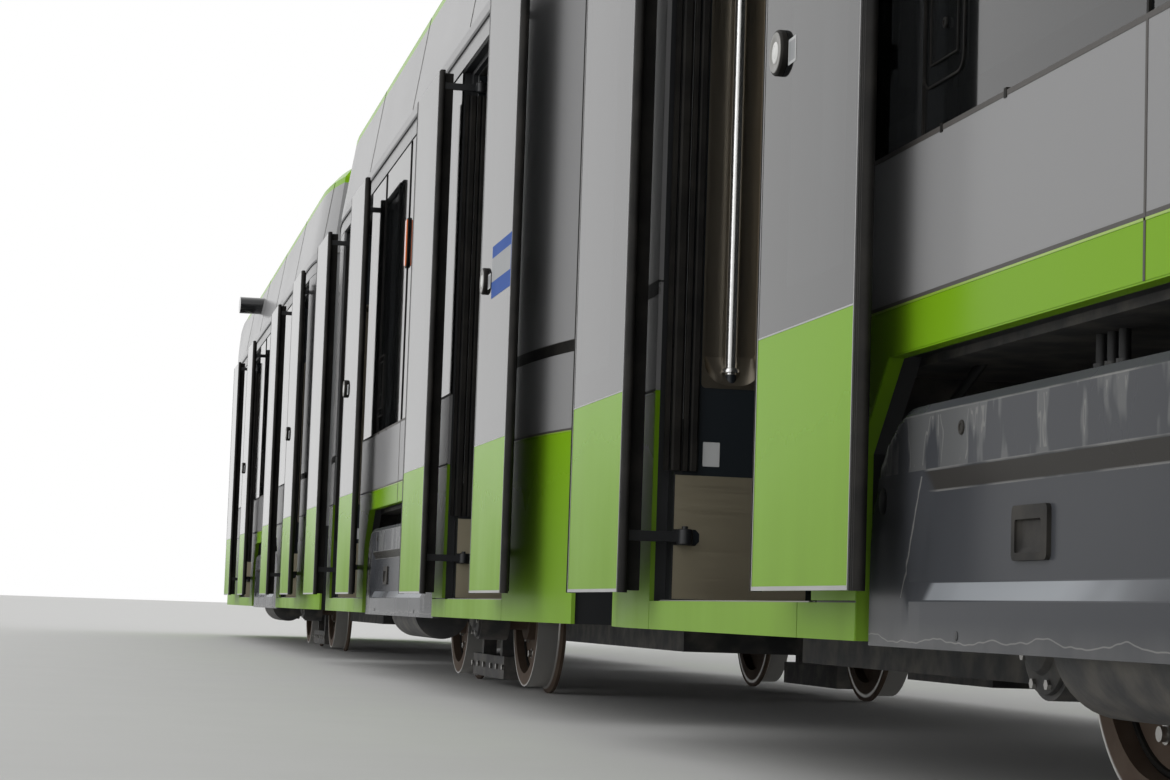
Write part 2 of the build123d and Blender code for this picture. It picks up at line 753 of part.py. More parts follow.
# Cab shells at the two ends
for name, end in (("near", 1), ("far", -1)):
    root = bogie_spacing + cab_start
    tip = bogie_spacing + section_nose
    from_above = Plane((0, 0, 0), x_dir=(end, 0, 0), z_dir=(0, 0, 1))
    from_side = Plane((0, 0, 0), x_dir=(end, 0, 0), z_dir=(0, -end, 0))
    from_front = Plane((end * root, 0, 0), x_dir=(0, end, 0), z_dir=(end, 0, 0))

    # The cab's outline in three views, drawn in by the inset
    def cab_solid(inset, z_start):
        with BuildSketch(from_above.offset(z_start)) as plan:
            with BuildLine() as rim:
                taper_end = (root + nose_taper_length, half_width - nose_taper)
                corner = (tip - nose_corner_back, nose_corner_half)
                Line((root - nose_taper, half_width), (root, half_width))
                side_arc = TangentArc((root, half_width), taper_end, tangent=(1, 0))
                corner_arc = TangentArc(side_arc @ 1, corner, tangent=side_arc % 1)
                mirror(about=Plane.XZ)
                ThreePointArc(corner, (tip, 0), (corner[0], -corner[1]))
                Line((root - nose_taper, half_width), (root - nose_taper, -half_width))
            make_face()
            if inset:
                offset(amount=-inset, kind=Kind.INTERSECTION, mode=Mode.REPLACE)
        with BuildSketch(from_side) as profile:
            with BuildLine():
                apron, bulge, foot, screen, top, over, roof_start = [
                    (tip - back, height) for back, height in (
                        (apron_back, sill_bottom), apron_bulge, windscreen_foot, windscreen_bulge,
                        brow, brow_bulge, brow_end)]
                bumper = (tip, bumper_height)
                Line((root - nose_taper, sill_bottom), apron)
                ThreePointArc(apron, bulge, bumper)
                Line(bumper, foot)
                ThreePointArc(foot, screen, top)
                ThreePointArc(top, over, roof_start)
                Polyline(roof_start, (root, roof_edge), (root - nose_taper, roof_edge))
                Line((root - nose_taper, roof_edge), (root - nose_taper, sill_bottom))
            make_face()
            if inset:
                offset(amount=-inset, kind=Kind.INTERSECTION, mode=Mode.REPLACE)
        with BuildSketch(from_front) as section:
            with BuildLine():
                cap_run = roof_cap * tan(radians(roof_cap_lean))
                edge = half_width - lean_run
                Polyline(
                    (-half_width, sill_bottom), (-half_width, deck_top), (-edge, roof_edge - roof_cap),
                    (-edge + cap_run, roof_edge), (edge - cap_run, roof_edge), (edge, roof_edge - roof_cap),
                    (half_width, deck_top), (half_width, sill_bottom), close=True,
                )
            make_face()
            if inset:
                offset(amount=-inset, kind=Kind.INTERSECTION, mode=Mode.REPLACE)
        with BuildPart() as solid:
            extrude(plan.sketch, amount=roof_edge - z_start)
            extrude(profile.sketch, amount=body_width, both=True, mode=Mode.INTERSECT)
            extrude(section.sketch, amount=cab_length, mode=Mode.INTERSECT)
        return solid.part

    outer = cab_solid(0, sill_bottom)
    windscreen_x = (end * (tip - windscreen_reach), end * (tip + nose_wall))
    windscreen_z = (belt_height, windscreen_top)
    side_window_x = (end * (root + cab_window_start), end * (root + cab_window_end))
    lamp_x = (end * (tip - lamp_reach), end * (tip + nose_wall))
    lamps_y = [(side * lamp_inner, side * lamp_outer) for side in (-1, 1)]

    with BuildPart() as nose:
        add(outer)
        add(cab_solid(nose_wall, floor_top), mode=Mode.SUBTRACT)
        block(windscreen_x, (-windscreen_half, windscreen_half), windscreen_z, Mode.SUBTRACT)
        block(side_window_x, (-body_width, body_width), (belt_height, window_top), Mode.SUBTRACT)
        for lamp_y in lamps_y:
            block(lamp_x, lamp_y, (lamp_bottom, lamp_top), Mode.SUBTRACT)
    finish(nose, f"nose_{name}")

    with BuildPart() as cab_glass:
        block(windscreen_x, (-windscreen_half + seat_gap, windscreen_half - seat_gap),
              (windscreen_z[0] + seat_gap, windscreen_z[1] - seat_gap))
        block((side_window_x[0] + end * seat_gap, side_window_x[1] - end * seat_gap),
              (-body_width, body_width), (belt_height + seat_gap, window_top - seat_gap))
        add(outer, mode=Mode.INTERSECT)
        add(cab_solid(cab_glass_thickness, sill_bottom), mode=Mode.SUBTRACT)
    finish(cab_glass, f"cab_glass_{name}")

    with BuildPart() as lamps:
        for lamp_y in lamps_y:
            y_range = (min(lamp_y) + seat_gap, max(lamp_y) - seat_gap)
            block(lamp_x, y_range, (lamp_bottom + seat_gap, lamp_top - seat_gap))
        add(outer, mode=Mode.INTERSECT)
        add(cab_solid(nose_wall, sill_bottom), mode=Mode.SUBTRACT)
    finish(lamps, f"lamps_{name}")

# Bellows between the sections, a row of folds with a passage through
for name, side in (("near", 1), ("far", -1)):
    pitch = joint_gap / bellows_folds
    with BuildPart() as bellows:
        for fold in range(bellows_folds):
            start = side * articulation - joint_gap / 2 + fold * pitch
            for x, way in ((start, 1), (start + pitch, -1)):
                lift = (bellows_bottom + bellows_top) / 2
                with BuildSketch(Plane((x, 0, lift), x_dir=(0, 1, 0), z_dir=(way, 0, 0))) as ring:
                    Rectangle(2 * bellows_side - bellows_depth, bellows_top - bellows_bottom - bellows_depth)
                    chamfer(ring.vertices(), length=bellows_corner)
                extrude(ring.sketch, amount=pitch / 2, taper=-bellows_fold_angle)
        ends = (side * articulation - joint_gap, side * articulation + joint_gap)
        block(ends, (-gangway_width / 2, gangway_width / 2), (floor_top + 10, cantrail - 20), Mode.SUBTRACT)
        middle = (side * articulation - joint_gap / 2, side * articulation + joint_gap / 2)
        block(middle, (-body_width, body_width), (0, roof_edge), Mode.INTERSECT)
    finish(bellows, f"bellows_{name}")

# Pantograph, folded down on the middle section
base_height = deck_top + insulator_height
pivot = (base_overhang - base_half_length, 0, base_height + pivot_above_base)
knee = (pivot[0] + lower_arm_length * cos(radians(lower_arm_angle)), 0,
        pivot[2] + lower_arm_length * sin(radians(lower_arm_angle)))
head_pivot = (knee[0] - upper_arm_length * cos(radians(upper_arm_angle)), 0,
              knee[2] + upper_arm_length * sin(radians(upper_arm_angle)))
pin_hole = pivot_pin + 2 * bearing_gap


def cross_rod(point, half_length, diameter, mode=Mode.ADD):
    """A round bar across the tram, centred on a point."""
    rod((point[0], -half_length, point[2]), (point[0], half_length, point[2]), diameter, mode)


with BuildPart() as base:
    for x in (-base_half_length, base_half_length):
        for y in (-base_half_width, base_half_width):
            drum(x, y, (deck_top, base_height), insulator_diameter / 2)
    for y in (-base_half_width, base_half_width):
        rod((-base_half_length - base_overhang, y, base_height),
            (base_half_length + base_overhang, y, base_height), base_tube)
    for x in (pivot[0], base_half_length - base_overhang):
        cross_rod((x, 0, base_height), base_half_width, base_cross_tube)
    for side in (-1, 1):
        block((pivot[0] - pivot_ear_half, pivot[0] + pivot_ear_half),
              (side * pivot_ears_y[0], side * pivot_ears_y[1]),
              (base_height, pivot[2] + pivot_ear_half))
    cross_rod(pivot, pivot_ears_y[1], pivot_pin)
finish(base, "pantograph_base")

with BuildPart() as lower_arm:
    cross_rod(pivot, lower_arm_half, lower_arm_tube + base_overhang / 3)
    rod(pivot, knee, lower_arm_tube)
    cross_rod(knee, knee_half, lower_arm_tube + base_overhang / 3)
    cross_rod(pivot, lower_arm_half, pin_hole, Mode.SUBTRACT)
    cross_rod(knee, knee_half, pin_hole, Mode.SUBTRACT)
finish(lower_arm, "pantograph_lower_arm")

with BuildPart() as upper_arm:
    cross_rod(knee, upper_arm_half, pivot_pin)
    for side in (-1, 1):
        inner = side * (upper_arm_half - upper_arm_eye_half)
        outer_end = side * (upper_arm_half + upper_arm_eye_half)
        rod((knee[0], inner, knee[2]), (knee[0], outer_end, knee[2]), upper_arm_eye)
        rod((knee[0], side * upper_arm_half, knee[2]),
            (head_pivot[0], side * upper_arm_half * 2, head_pivot[2]), upper_arm_tube)
    cross_rod(head_pivot, upper_arm_half * 2 + head_from_arm, pivot_pin)
finish(upper_arm, "pantograph_upper_arm")

with BuildPart() as head:
    top = head_pivot[2] + head_rise
    for side in (-1, 1):
        ear = side * (upper_arm_half * 2 + head_from_arm)
        outer_face = (head_pivot[0], ear, head_pivot[2])
        inner_face = (head_pivot[0], ear - side * head_ear, head_pivot[2])
        rod(outer_face, inner_face, head_eye)
        rod(outer_face, inner_face, pin_hole, Mode.SUBTRACT)
        block((head_pivot[0] - strip_apart / 2, head_pivot[0] + strip_apart / 2),
              (ear, ear - side * head_ear), (head_pivot[2] + pivot_pin, top))
    for way in (-1, 1):
        x = head_pivot[0] + way * strip_apart / 2
        with BuildSketch(Plane((x, 0, 0), x_dir=(0, 1, 0), z_dir=(1, 0, 0))) as bar:
            with BuildLine():
                Polyline(
                    (-head_half_width, top - horn_drop), (-strip_half, top + strip_size),
                    (strip_half, top + strip_size), (head_half_width, top - horn_drop),
                    (head_half_width - strip_size, top - horn_drop), (strip_half, top),
                    (-strip_half, top), (-head_half_width + strip_size, top - horn_drop), close=True,
                )
            make_face()
        extrude(bar.sketch, amount=strip_size / 2, both=True)
finish(head, "pantograph_head")
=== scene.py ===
"""Looks of a three-section low-floor tram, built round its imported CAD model.

Metres, in the model's own frame: X runs along the tram, Y across it and Z up. The platform
side is -Y, where the doors stand open.
"""
import math
from typing import NamedTuple

import bmesh
import bpy
from mathutils import Matrix, Vector
from mathutils.bvhtree import BVHTree


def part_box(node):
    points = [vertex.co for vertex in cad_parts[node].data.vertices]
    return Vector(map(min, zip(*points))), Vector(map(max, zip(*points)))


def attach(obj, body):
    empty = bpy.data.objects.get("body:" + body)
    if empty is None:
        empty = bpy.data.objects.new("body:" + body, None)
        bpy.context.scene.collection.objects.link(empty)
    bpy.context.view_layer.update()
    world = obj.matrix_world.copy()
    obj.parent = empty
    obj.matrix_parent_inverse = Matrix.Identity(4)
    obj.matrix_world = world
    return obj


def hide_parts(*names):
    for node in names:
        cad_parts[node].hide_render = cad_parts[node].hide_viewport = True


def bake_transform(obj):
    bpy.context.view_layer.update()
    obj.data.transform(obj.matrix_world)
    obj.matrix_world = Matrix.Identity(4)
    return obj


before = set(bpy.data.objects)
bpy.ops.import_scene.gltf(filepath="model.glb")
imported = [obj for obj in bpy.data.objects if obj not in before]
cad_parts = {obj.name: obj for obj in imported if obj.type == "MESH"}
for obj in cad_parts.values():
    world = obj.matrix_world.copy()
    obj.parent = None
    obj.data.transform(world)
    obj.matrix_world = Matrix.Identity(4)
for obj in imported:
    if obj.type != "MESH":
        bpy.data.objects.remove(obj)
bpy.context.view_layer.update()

bl_info = {
    "name": "Low-floor tram",
    "version": (1, 0, 0),
    "blender": (4, 5, 0),
    "location": "View3D > Sidebar > Tram",
    "description": "Dresses the CAD model of a three-section tram",
    "category": "Object",
}

UP = (0, 0, 1)
BOTH = (-1, 1)
AXIS = 0.0001  # the radius at which a turned profile closes
SECTIONS = (("near", 1), ("middle", 0), ("far", -1))
ENDS = (("near", 1), ("far", -1))

# Places and sizes read from the frame
skin_low, skin_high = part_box("skins_near")
HALF_WIDTH = skin_high.y
SILL = skin_low.z
CANTRAIL = skin_high.z
BOGIE_X = {name: sum(corner.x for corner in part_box(f"shrouds_{name}")) / 2 for name, end in SECTIONS}
SHROUD_LOW, SHROUD_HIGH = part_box("shrouds_middle")
ROOF_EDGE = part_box("roof_middle")[1].z
DOOR_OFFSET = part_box("camera_pods_near")[0].x / 2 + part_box("camera_pods_near")[1].x / 2 - BOGIE_X["near"]
SECTION_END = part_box("skins_middle")[1].x

# Door leaves
FLOOR_TOP = 0.375
LEAF_BOTTOM, LEAF_TOP = 0.395, 2.455
LEAF_WIDTH = 0.63
LEAF_THICKNESS = 0.024
LEAF_RIM, LEAF_BACK, LEAF_BACK_CLOSED = 0.032, 0.058, 0.0395
LEAF_WINDOW = (0.19, 0.08)
PANE = 0.008
LEAF_GLASS_BOTTOM = 0.893
CLOSING_SEAL, OUTER_SEAL = 0.03, 0.04
LEAF_SLID, LEAF_OUT = 0.6, 0.1
DOOR_CLEAR = 1.3
BUTTON_FROM_EDGE = 0.12
GUIDE_HEIGHTS = (0.535, 2.400)
BUTTON_HEIGHT = 1.445

# Side of the body
BAND_TOP = 0.905
BELT = 1.18
WINDOW_TOP = 2.475
ARCH_TOP = 0.815
ARCH = ((-1.260, SILL), (-1.260, 0.650), (-1.095, ARCH_TOP), (1.095, ARCH_TOP), (1.260, 0.650), (1.260, SILL))
ARCH_INSIDE = ((-1.257, SILL), (-1.257, 0.6488), (-1.0938, 0.812), (1.0938, 0.812), (1.257, 0.6488), (1.257, SILL))
PIPE_X, PIPE_Y, PIPE_APART = -0.450, 1.10, 0.044
HATCH = ((-0.938, 1.262), (-0.735, 1.560))
HATCH_RIM = 0.032
MARKER = 2.0
GLASS_SPLIT = 0.94
LEAF_RECESS = 0.706
END_CURVE, END_INSET = 0.8, 0.08
ARTICULATION = 4.07
JOINTS = {name: [(BOGIE_X[name] + way * SECTION_END, way) for way in (-1, 1) if way != end] for name, end in SECTIONS}

# Door pillars' grab rails
RECESS_LOW, RECESS_HIGH = 0.92, 2.05
RECESS_SLOPE = 0.995
RECESS_FROM_MIDDLE, RECESS_WIDTH, RECESS_DEPTH = 1.065, 0.15, 0.05
RAIL_DEPTH = 0.022

# Shrouds
SHROUD_HALF = (SHROUD_HIGH.x - SHROUD_LOW.x) / 2
SHROUD_THICKNESS, SHROUD_CORNER, SHROUD_CHAMFER = 0.024, 0.23, 0.018
PRESS_X, PRESS_X_IN = SHROUD_HALF - 0.312, SHROUD_HALF - 0.355
PRESS_LEAN = 0.115
PRESS_HEIGHTS = (0.378, 0.412, 0.566, 0.600)
LATCH_X, LATCH_HEIGHT = 0.430, 0.484
LATCH_STEPS = ((0, 0, 0, 0, 0.010), (0.016, 0.012, 0.022, 0.022, 0.004), (0.030, 0.020, 0.030, 0.024, 0.003))
LOCK_X, LOCK_HEIGHT = 0.709, 0.662
SHROUD_HOLES = ((1.136, 0.556, 0.024), (0.716, 0.322, 0.008))

# Saloon and cab
AISLE_TOP = 0.48
WHEELBOX_HALF = 1.33
TURNTABLE_RADIUS = 0.64
SEATS = ((-1.05, 1), (-0.25, -1), (0.25, 1), (1.05, -1))
SEAT_TOP, SEAT_DEPTH = 0.92, 0.43
SEAT_WALL, SEAT_WIDTH = 1.168, 0.64
POLE_Y, POLE_FROM_DOOR = 0.42, 0.76
RAIL_HEIGHT = 2.02
DRIVER_SEAT_TOP = 0.85

# Roof
DECK = 2.615
FAN_SHARE, FAN_RISE = 0.34, 0.035
BOX_WALL_SHARE, BOX_SLOPE, FAIRING_LEAN = 0.8, math.radians(40), math.radians(9)
CLAMP_PITCH, CABLE_REACH = 1.2, 1.2
ROOF_BOXES = {False: ((-3.2, 1.5, 1.5, 0.5), (1.7, 1.5, 1.5, 0.5)),
              True: ((-3.1, 2.2, 1.7, 0.56), (-0.5, 2.0, 1.6, 0.48), (1.9, 2.3, 1.8, 0.6))}

# Running gear
BEARING_Y = 0.945
AXLEBOX_OUTER = 1.005
AXLE_TOP = 0.470
WHEEL_WEB_OUTER = 0.762
SPRING_X = 0.21
TRACK_BRAKE_OUTER = 0.805

# Pantograph, as places along the tram and heights
INSULATOR_X, INSULATOR_Y = 0.76, 0.45
BASE_HEIGHT = 3.055
PANTOGRAPH_PIVOT = (-0.70, 3.165)
PANTOGRAPH_KNEE = (0.7943, 3.2957)
PANTOGRAPH_HEAD_X = -0.8816
STRIP_APART = 0.38


class Leaf(NamedTuple):
    """A door leaf: its doorway's middle, its closing edge, the way it opens, its side and its outer face."""
    door: float
    edge: float
    way: int
    side: int
    is_open: bool
    face: float

    def at(self, along, back, up):
        """A point in the frame, from the panel's closing edge along it and back from its face."""
        return self.edge + self.way * CLOSING_SEAL + self.way * along, self.face - self.side * back, up


def door_centres(name):
    """Centres of a section's two doorways along X."""
    return BOGIE_X[name] - DOOR_OFFSET, BOGIE_X[name] + DOOR_OFFSET


def leaves(name):
    """Each door leaf of a section."""
    for door in door_centres(name):
        for side, is_open in ((-1, True), (1, False)):
            for way in BOTH:
                edge = door + way * (LEAF_SLID if is_open else 0.0005)
                yield Leaf(door, edge, way, side, is_open, side * (HALF_WIDTH + (LEAF_OUT if is_open else 0)))


def jambs(name):
    """Each inner face of a section's doorways: its place along X, its way from the doorway's middle and its side."""
    for door in door_centres(name):
        for way in BOTH:
            for side in BOTH:
                yield door + way * DOOR_CLEAR / 2, way, side


def side_face(name, x):
    """How far a section's side lies from the tram's middle at a place along it."""
    radius = (END_CURVE ** 2 + END_INSET ** 2) / (2 * END_INSET)
    past = max([0.0] + [END_CURVE - (joint - x) * way for joint, way in JOINTS[name]])
    return HALF_WIDTH - radius + math.sqrt(radius ** 2 - min(past, END_CURVE) ** 2)


def desk_top(back):
    """Height of the driver's desk at a distance back from the tip of the nose."""
    return 0.94 + (0.76 - back) * 0.08 / 0.43


# Materials

class Value:
    """A socket of a material that can be used in sums."""

    def __init__(self, finish, socket):
        self.finish = finish
        self.socket = socket

    def maths(self, operation, *others):
        made = self.finish.node("ShaderNodeMath", {"operation": operation}, dict(enumerate((self, *others))))
        return Value(self.finish, made.outputs[0])

    def __add__(self, other):
        return self.maths("ADD", other)

    def __mul__(self, other):
        return self.maths("MULTIPLY", other)

    def __sub__(self, other):
        return self.maths("SUBTRACT", other)

    def __rsub__(self, other):
        return self.maths("MULTIPLY", -1.0).maths("ADD", other)

    def __pow__(self, other):
        return self.maths("POWER", other)

    __radd__ = __add__
    __rmul__ = __mul__

    def above(self, edge):
        """1 where the value is over the edge, 0 elsewhere."""
        return self.maths("GREATER_THAN", edge)

    def ramp(self, start, stop):
        """Rises smoothly from 0 at start to 1 at stop."""
        made = self.finish.node("ShaderNodeMapRange", {"interpolation_type": "SMOOTHSTEP", "clamp": True},
                                {"Value": self, "From Min": start, "From Max": stop})
        return Value(self.finish, made.outputs["Result"])


class Finish:
    """One material, built from nodes that feed its Principled shader."""

    def __init__(self, name, colour=(0.5, 0.5, 0.5), roughness=0.5, metallic=0.0, **constants):
        self.material = bpy.data.materials.new(name)
        self.material.use_nodes = True
        self.tree = self.material.node_tree
        self.shader = self.tree.nodes["Principled BSDF"]
        self.shader.inputs["Base Color"].default_value = (*colour, 1.0)
        self.shader.inputs["Roughness"].default_value = roughness
        self.shader.inputs["Metallic"].default_value = metallic
        for socket, value in constants.items():
            self.shader.inputs[socket.replace("_", " ").title().replace("Ior", "IOR")].default_value = value
        self.material.diffuse_color = (*colour, 1.0)

    def node(self, kind, settings=None, sockets=None):
        """Adds a node of any kind, with its settings and then its sockets' values or links."""
        made = self.tree.nodes.new(kind)
        for key, value in (settings or {}).items():
            setattr(made, key, value)
        for key, value in (sockets or {}).items():
            if isinstance(value, Value):
                self.tree.links.new(value.socket, made.inputs[key])
            else:
                made.inputs[key].default_value = value
        return made

    def place(self, axis=None):
        """Object coordinates, whole or along one axis."""
        made = self.node("ShaderNodeTexCoord")
        whole = Value(self, made.outputs["Object"])
        if axis is None:
            return whole
        return Value(self, self.node("ShaderNodeSeparateXYZ", sockets={0: whole}).outputs[axis])

    def noise(self, scale, stretch=(1, 1, 1), detail=4.0):
        """Noise from 0 to 1, drawn out along the axes by the stretch."""
        spread = self.node("ShaderNodeVectorMath", {"operation": "MULTIPLY"}, {0: self.place(), 1: stretch})
        made = self.node("ShaderNodeTexNoise", sockets={
            "Vector": Value(self, spread.outputs[0]), "Scale": scale, "Detail": detail})
        return Value(self, made.outputs[0])

    def between(self, share, first, second):
        """A colour between two, by a share from 0 to 1."""
        sockets = {0: share}
        for index, colour in ((6, first), (7, second)):
            sockets[index] = colour if isinstance(colour, Value) else (*colour, 1.0)
        made = self.node("ShaderNodeMix", {"data_type": "RGBA"}, sockets)
        return Value(self, made.outputs[2])

    def bump(self, height, distance, strength):
        """Feeds a height to the shader's normal."""
        made = self.node("ShaderNodeBump", sockets={"Height": height, "Distance": distance, "Strength": strength})
        self.feed("Normal", Value(self, made.outputs[0]))

    def feed(self, socket, value):
        self.tree.links.new(value.socket, self.shader.inputs[socket])

    def show(self, colour, roughness, height, distance, strength):
        """Feeds a colour, a roughness and the height of a bump."""
        self.feed("Base Color", colour)
        self.feed("Roughness", roughness)
        self.bump(height, distance, strength)


def finish(name):
    """The material of that name, made by the finishes operator."""
    return bpy.data.materials[name]


# Meshes

class Shape:
    """A mesh in the making."""

    def __init__(self):
        self.mesh = bmesh.new()

    def brick(self, low, high):
        """A box between two corners, in any order."""
        low, high = [Vector(map(min, low, high)), Vector(map(max, low, high))]
        size, middle = high - low, (low + high) / 2
        bmesh.ops.create_cube(self.mesh, size=1.0, matrix=Matrix.Translation(middle) @ Matrix.Diagonal((*size, 1)))
        return self

    def bar(self, start, end, radius, sides=20, end_radius=None):
        """A round bar or cone between two points."""
        start, end = Vector(start), Vector(end)
        run = end - start
        turn = run.to_track_quat("Z", "Y").to_matrix().to_4x4()
        bmesh.ops.create_cone(
            self.mesh, cap_ends=True, segments=sides, radius1=radius,
            radius2=radius if end_radius is None else end_radius, depth=run.length,
            matrix=Matrix.Translation((start + end) / 2) @ turn)
        return self

    def prism(self, outline, place, start, stop):
        """An outline of (u, v) points drawn along w, taken to the frame by a function of (u, v, w)."""
        rings = self.loops(place, (outline, start), (outline, stop))
        self.mesh.faces.new(rings[0])
        self.mesh.faces.new(rings[1][::-1])
        self.walls(rings)
        return self

    def loops(self, place, *lines):
        """Rings of vertices, each from an outline and how far out it lies."""
        return [[self.mesh.verts.new(place(u, v, w)) for u, v in line] for line, w in lines]

    def walls(self, rings):
        """Joins rings of equally many points with faces."""
        for first, second in zip(rings, rings[1:]):
            for i, vert in enumerate(first):
                j = (i + 1) % len(first)
                self.mesh.faces.new((vert, first[j], second[j], second[i]))
        return self

    def closed(self, rings):
        """Joins rings of points with faces, the ends too."""
        self.walls(rings)
        self.mesh.faces.new(rings[0][::-1])
        self.mesh.faces.new(rings[-1])
        return self

    def sheet(self, grid):
        """Covers rows of points with faces, and gives their vertices."""
        made = [[self.mesh.verts.new(point) for point in row] for row in grid]
        for first, second in zip(made, made[1:]):
            for i in range(len(first) - 1):
                self.mesh.faces.new((first[i], second[i], second[i + 1], first[i + 1]))
        return made

    def ring(self, outer, inner, place, start, stop, rows=1):
        """A flat frame between two outlines of equally many points, in rows from the one to the other."""
        lines = [(outer, start)]
        for k in range(rows + 1):
            share = k / rows
            lines.append(([tuple(a + (b - a) * share for a, b in zip(*pair)) for pair in zip(outer, inner)], stop))
        lines.append((inner, start))
        loops = self.loops(place, *lines)
        return self.walls([*loops, loops[0]])

    def strip(self, name, side, span, heights, depths):
        """A strip that follows a section's side, between two heights and two depths."""
        count = max(1, math.ceil(abs(span[1] - span[0]) / 0.1))
        loops = []
        for i in range(count + 1):
            x = span[0] + (span[1] - span[0]) * i / count
            face = side_face(name, x)
            loops.append([self.mesh.verts.new((x, side * (face + depth), z)) for depth, z in (
                (depths[0], heights[0]), (depths[1], heights[0]), (depths[1], heights[1]), (depths[0], heights[1]))])
        return self.closed(loops)

    def patch(self, low, high, place, start, stop, reach=0.06):
        """A plate between two corners that follows what it is laid on."""
        counts = [max(1, math.ceil(abs(b - a) / reach)) for a, b in zip(low, high)]
        rows, columns = ([a + (b - a) * k / count for k in range(count + 1)]
                         for a, b, count in zip(low, high, counts))
        return self.walls([border(self.sheet([[place(u, v, w) for v in columns] for u in rows]))
                           for w in (start, stop)])

    def pad(self, centre, across, along, width, length, thickness, out=(0, 0, 1)):
        """A stuffed pad lying on a face: crowned, with sides that pull in and two sewn channels."""
        centre, across, along, out = (Vector(value) for value in (centre, across, along, out))
        count = 14
        grid = []
        for u in (math.sin(math.pi * (k / count - 0.5)) for k in range(count + 1)):
            row = []
            for v in (math.sin(math.pi * (k / count - 0.5)) for k in range(count + 1)):
                crown = (1 - abs(u) ** 5) ** 0.45 * (1 - abs(v) ** 5) ** 0.45
                channel = sum(math.exp(-((v - spot) / 0.05) ** 2) for spot in (-0.38, 0.38))
                pull = 1 - 0.03 * (1 - v * v) * abs(u), 1 - 0.03 * (1 - u * u) * abs(v)
                row.append(centre + across * u * pull[0] * width / 2 + along * v * pull[1] * length / 2
                           + out * thickness * (0.06 + crown * (0.94 - 0.16 * channel)))
            grid.append(row)
        rim = border(self.sheet(grid))
        foot = [self.mesh.verts.new(vert.co - out * ((vert.co - centre).dot(out) - 0.0004)) for vert in rim]
        self.walls([rim, foot])
        self.mesh.faces.new(foot)
        return self

    def lathe(self, profile, centre, axis, sides=32):
        """A profile of (radius, height) points turned round an axis."""
        turn = Vector(axis).to_track_quat("Z", "Y").to_matrix()
        centre, angles = Vector(centre), [2 * math.pi * i / sides for i in range(sides)]
        rings = [[self.mesh.verts.new(centre + turn @ Vector((radius * math.cos(a), radius * math.sin(a), height)))
                  for a in angles] for radius, height in profile]
        return self.closed(rings)

    def tube(self, path, radius, sides=12):
        """A round tube that follows a line of points."""
        points = [Vector(point) for point in path]
        rings = []
        across = None
        for i, point in enumerate(points):
            ahead = points[min(i + 1, len(points) - 1)] - points[max(i - 1, 0)]
            ahead.normalize()
            if across is None:
                across = ahead.orthogonal().normalized()
            across = (across - ahead * across.dot(ahead)).normalized()
            up = ahead.cross(across)
            rings.append([self.mesh.verts.new(
                point + radius * (math.cos(a) * across + math.sin(a) * up))
                for a in (2 * math.pi * k / sides for k in range(sides))])
        return self.closed(rings)

    def build(self, name, material, body, bevel=0.0, segments=2, angle=35.0):
        """Makes the piece, with softened edges, and lets it ride on a body."""
        bmesh.ops.recalc_face_normals(self.mesh, faces=self.mesh.faces)
        data = bpy.data.meshes.new(name)
        self.mesh.to_mesh(data)
        self.mesh.free()
        data.shade_smooth()
        data.set_sharp_from_angle(angle=math.radians(angle))
        piece = bpy.data.objects.new(name, data)
        bpy.context.scene.collection.objects.link(piece)
        data.materials.append(finish(material))
        if bevel:
            edge = piece.modifiers.new("edges", "BEVEL")
            edge.width, edge.segments, edge.limit_method = bevel, segments, "ANGLE"
            edge.angle_limit = math.radians(angle)
            edge.harden_normals = True
        if body:
            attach(piece, body)
        return piece


def inset(low, high, by):
    """Two corners of a rectangle, drawn in."""
    return [c + by for c in low], [c - by for c in high]


def border(sheet):
    """The vertices along a sheet's edge, in turn."""
    return ([row[0] for row in sheet[:-1]] + sheet[-1][:-1]
            + [row[-1] for row in sheet[:0:-1]] + sheet[0][:0:-1])


def rounded(low, high, radius, steps=5):
    """The outline of a rectangle with round corners."""
    corners = ((high[0], high[1], 0), (low[0], high[1], 90), (low[0], low[1], 180), (high[0], low[1], 270))
    outline = []
    for u, v, start in corners:
        centre = (u - math.copysign(radius, u - (low[0] + high[0]) / 2),
                  v - math.copysign(radius, v - (low[1] + high[1]) / 2))
        for i in range(steps + 1):
            angle = math.radians(start + 90 * i / steps)
            outline.append((centre[0] + radius * math.cos(angle), centre[1] + radius * math.sin(angle)))
    return outline


def circle(x, y, radius, steps=32):
    """The outline of a circle."""
    return [(x + radius * math.cos(a), y + radius * math.sin(a))
            for a in (2 * math.pi * i / steps for i in range(steps))]


def matched(outer, inner, reach=0.08):
    """Divides the long runs of two outlines alike."""
    result = ([], [])
    for i in range(len(outer)):
        j = (i + 1) % len(outer)
        count = max(1, math.ceil(math.dist(outer[i], outer[j]) / reach))
        for divided, line in zip(result, (outer, inner)):
            divided.extend(tuple(a + (b - a) * k / count for a, b in zip(line[i], line[j])) for k in range(count))
    return result


def surface(*names):
    """A search tree over CAD nodes, for laying trim on them."""
    points, faces = [], []
    for name in names:
        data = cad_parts[name].data
        faces += [[len(points) + i for i in polygon.vertices] for polygon in data.polygons]
        points += [vert.co.copy() for vert in data.vertices]
    return BVHTree.FromPolygons(points, faces)


def laid_on(tree, start, direction):
    """Takes (u, v, out) to the frame: start gives where the look at the surface begins."""
    direction = Vector(direction)

    def place(u, v, w):
        hit, normal = tree.ray_cast(Vector(start(u, v)), direction)[:2]
        return hit + normal * (w if normal.dot(direction) < 0 else -w)
    return place


def on_side(side, face=None):
    """Takes (along, up, out) to the frame, out being measured from the body's side."""
    face = HALF_WIDTH if face is None else face
    return lambda u, v, w: (u, side * (face + w), v)


def upright(u, v, w):
    """Takes (along, across, up) to the frame."""
    return u, v, w


# Settings

def colour_setting(name, description, default):
    return bpy.props.FloatVectorProperty(
        name=name, description=description, default=default, subtype="COLOR", size=3, min=0.0, max=1.0)


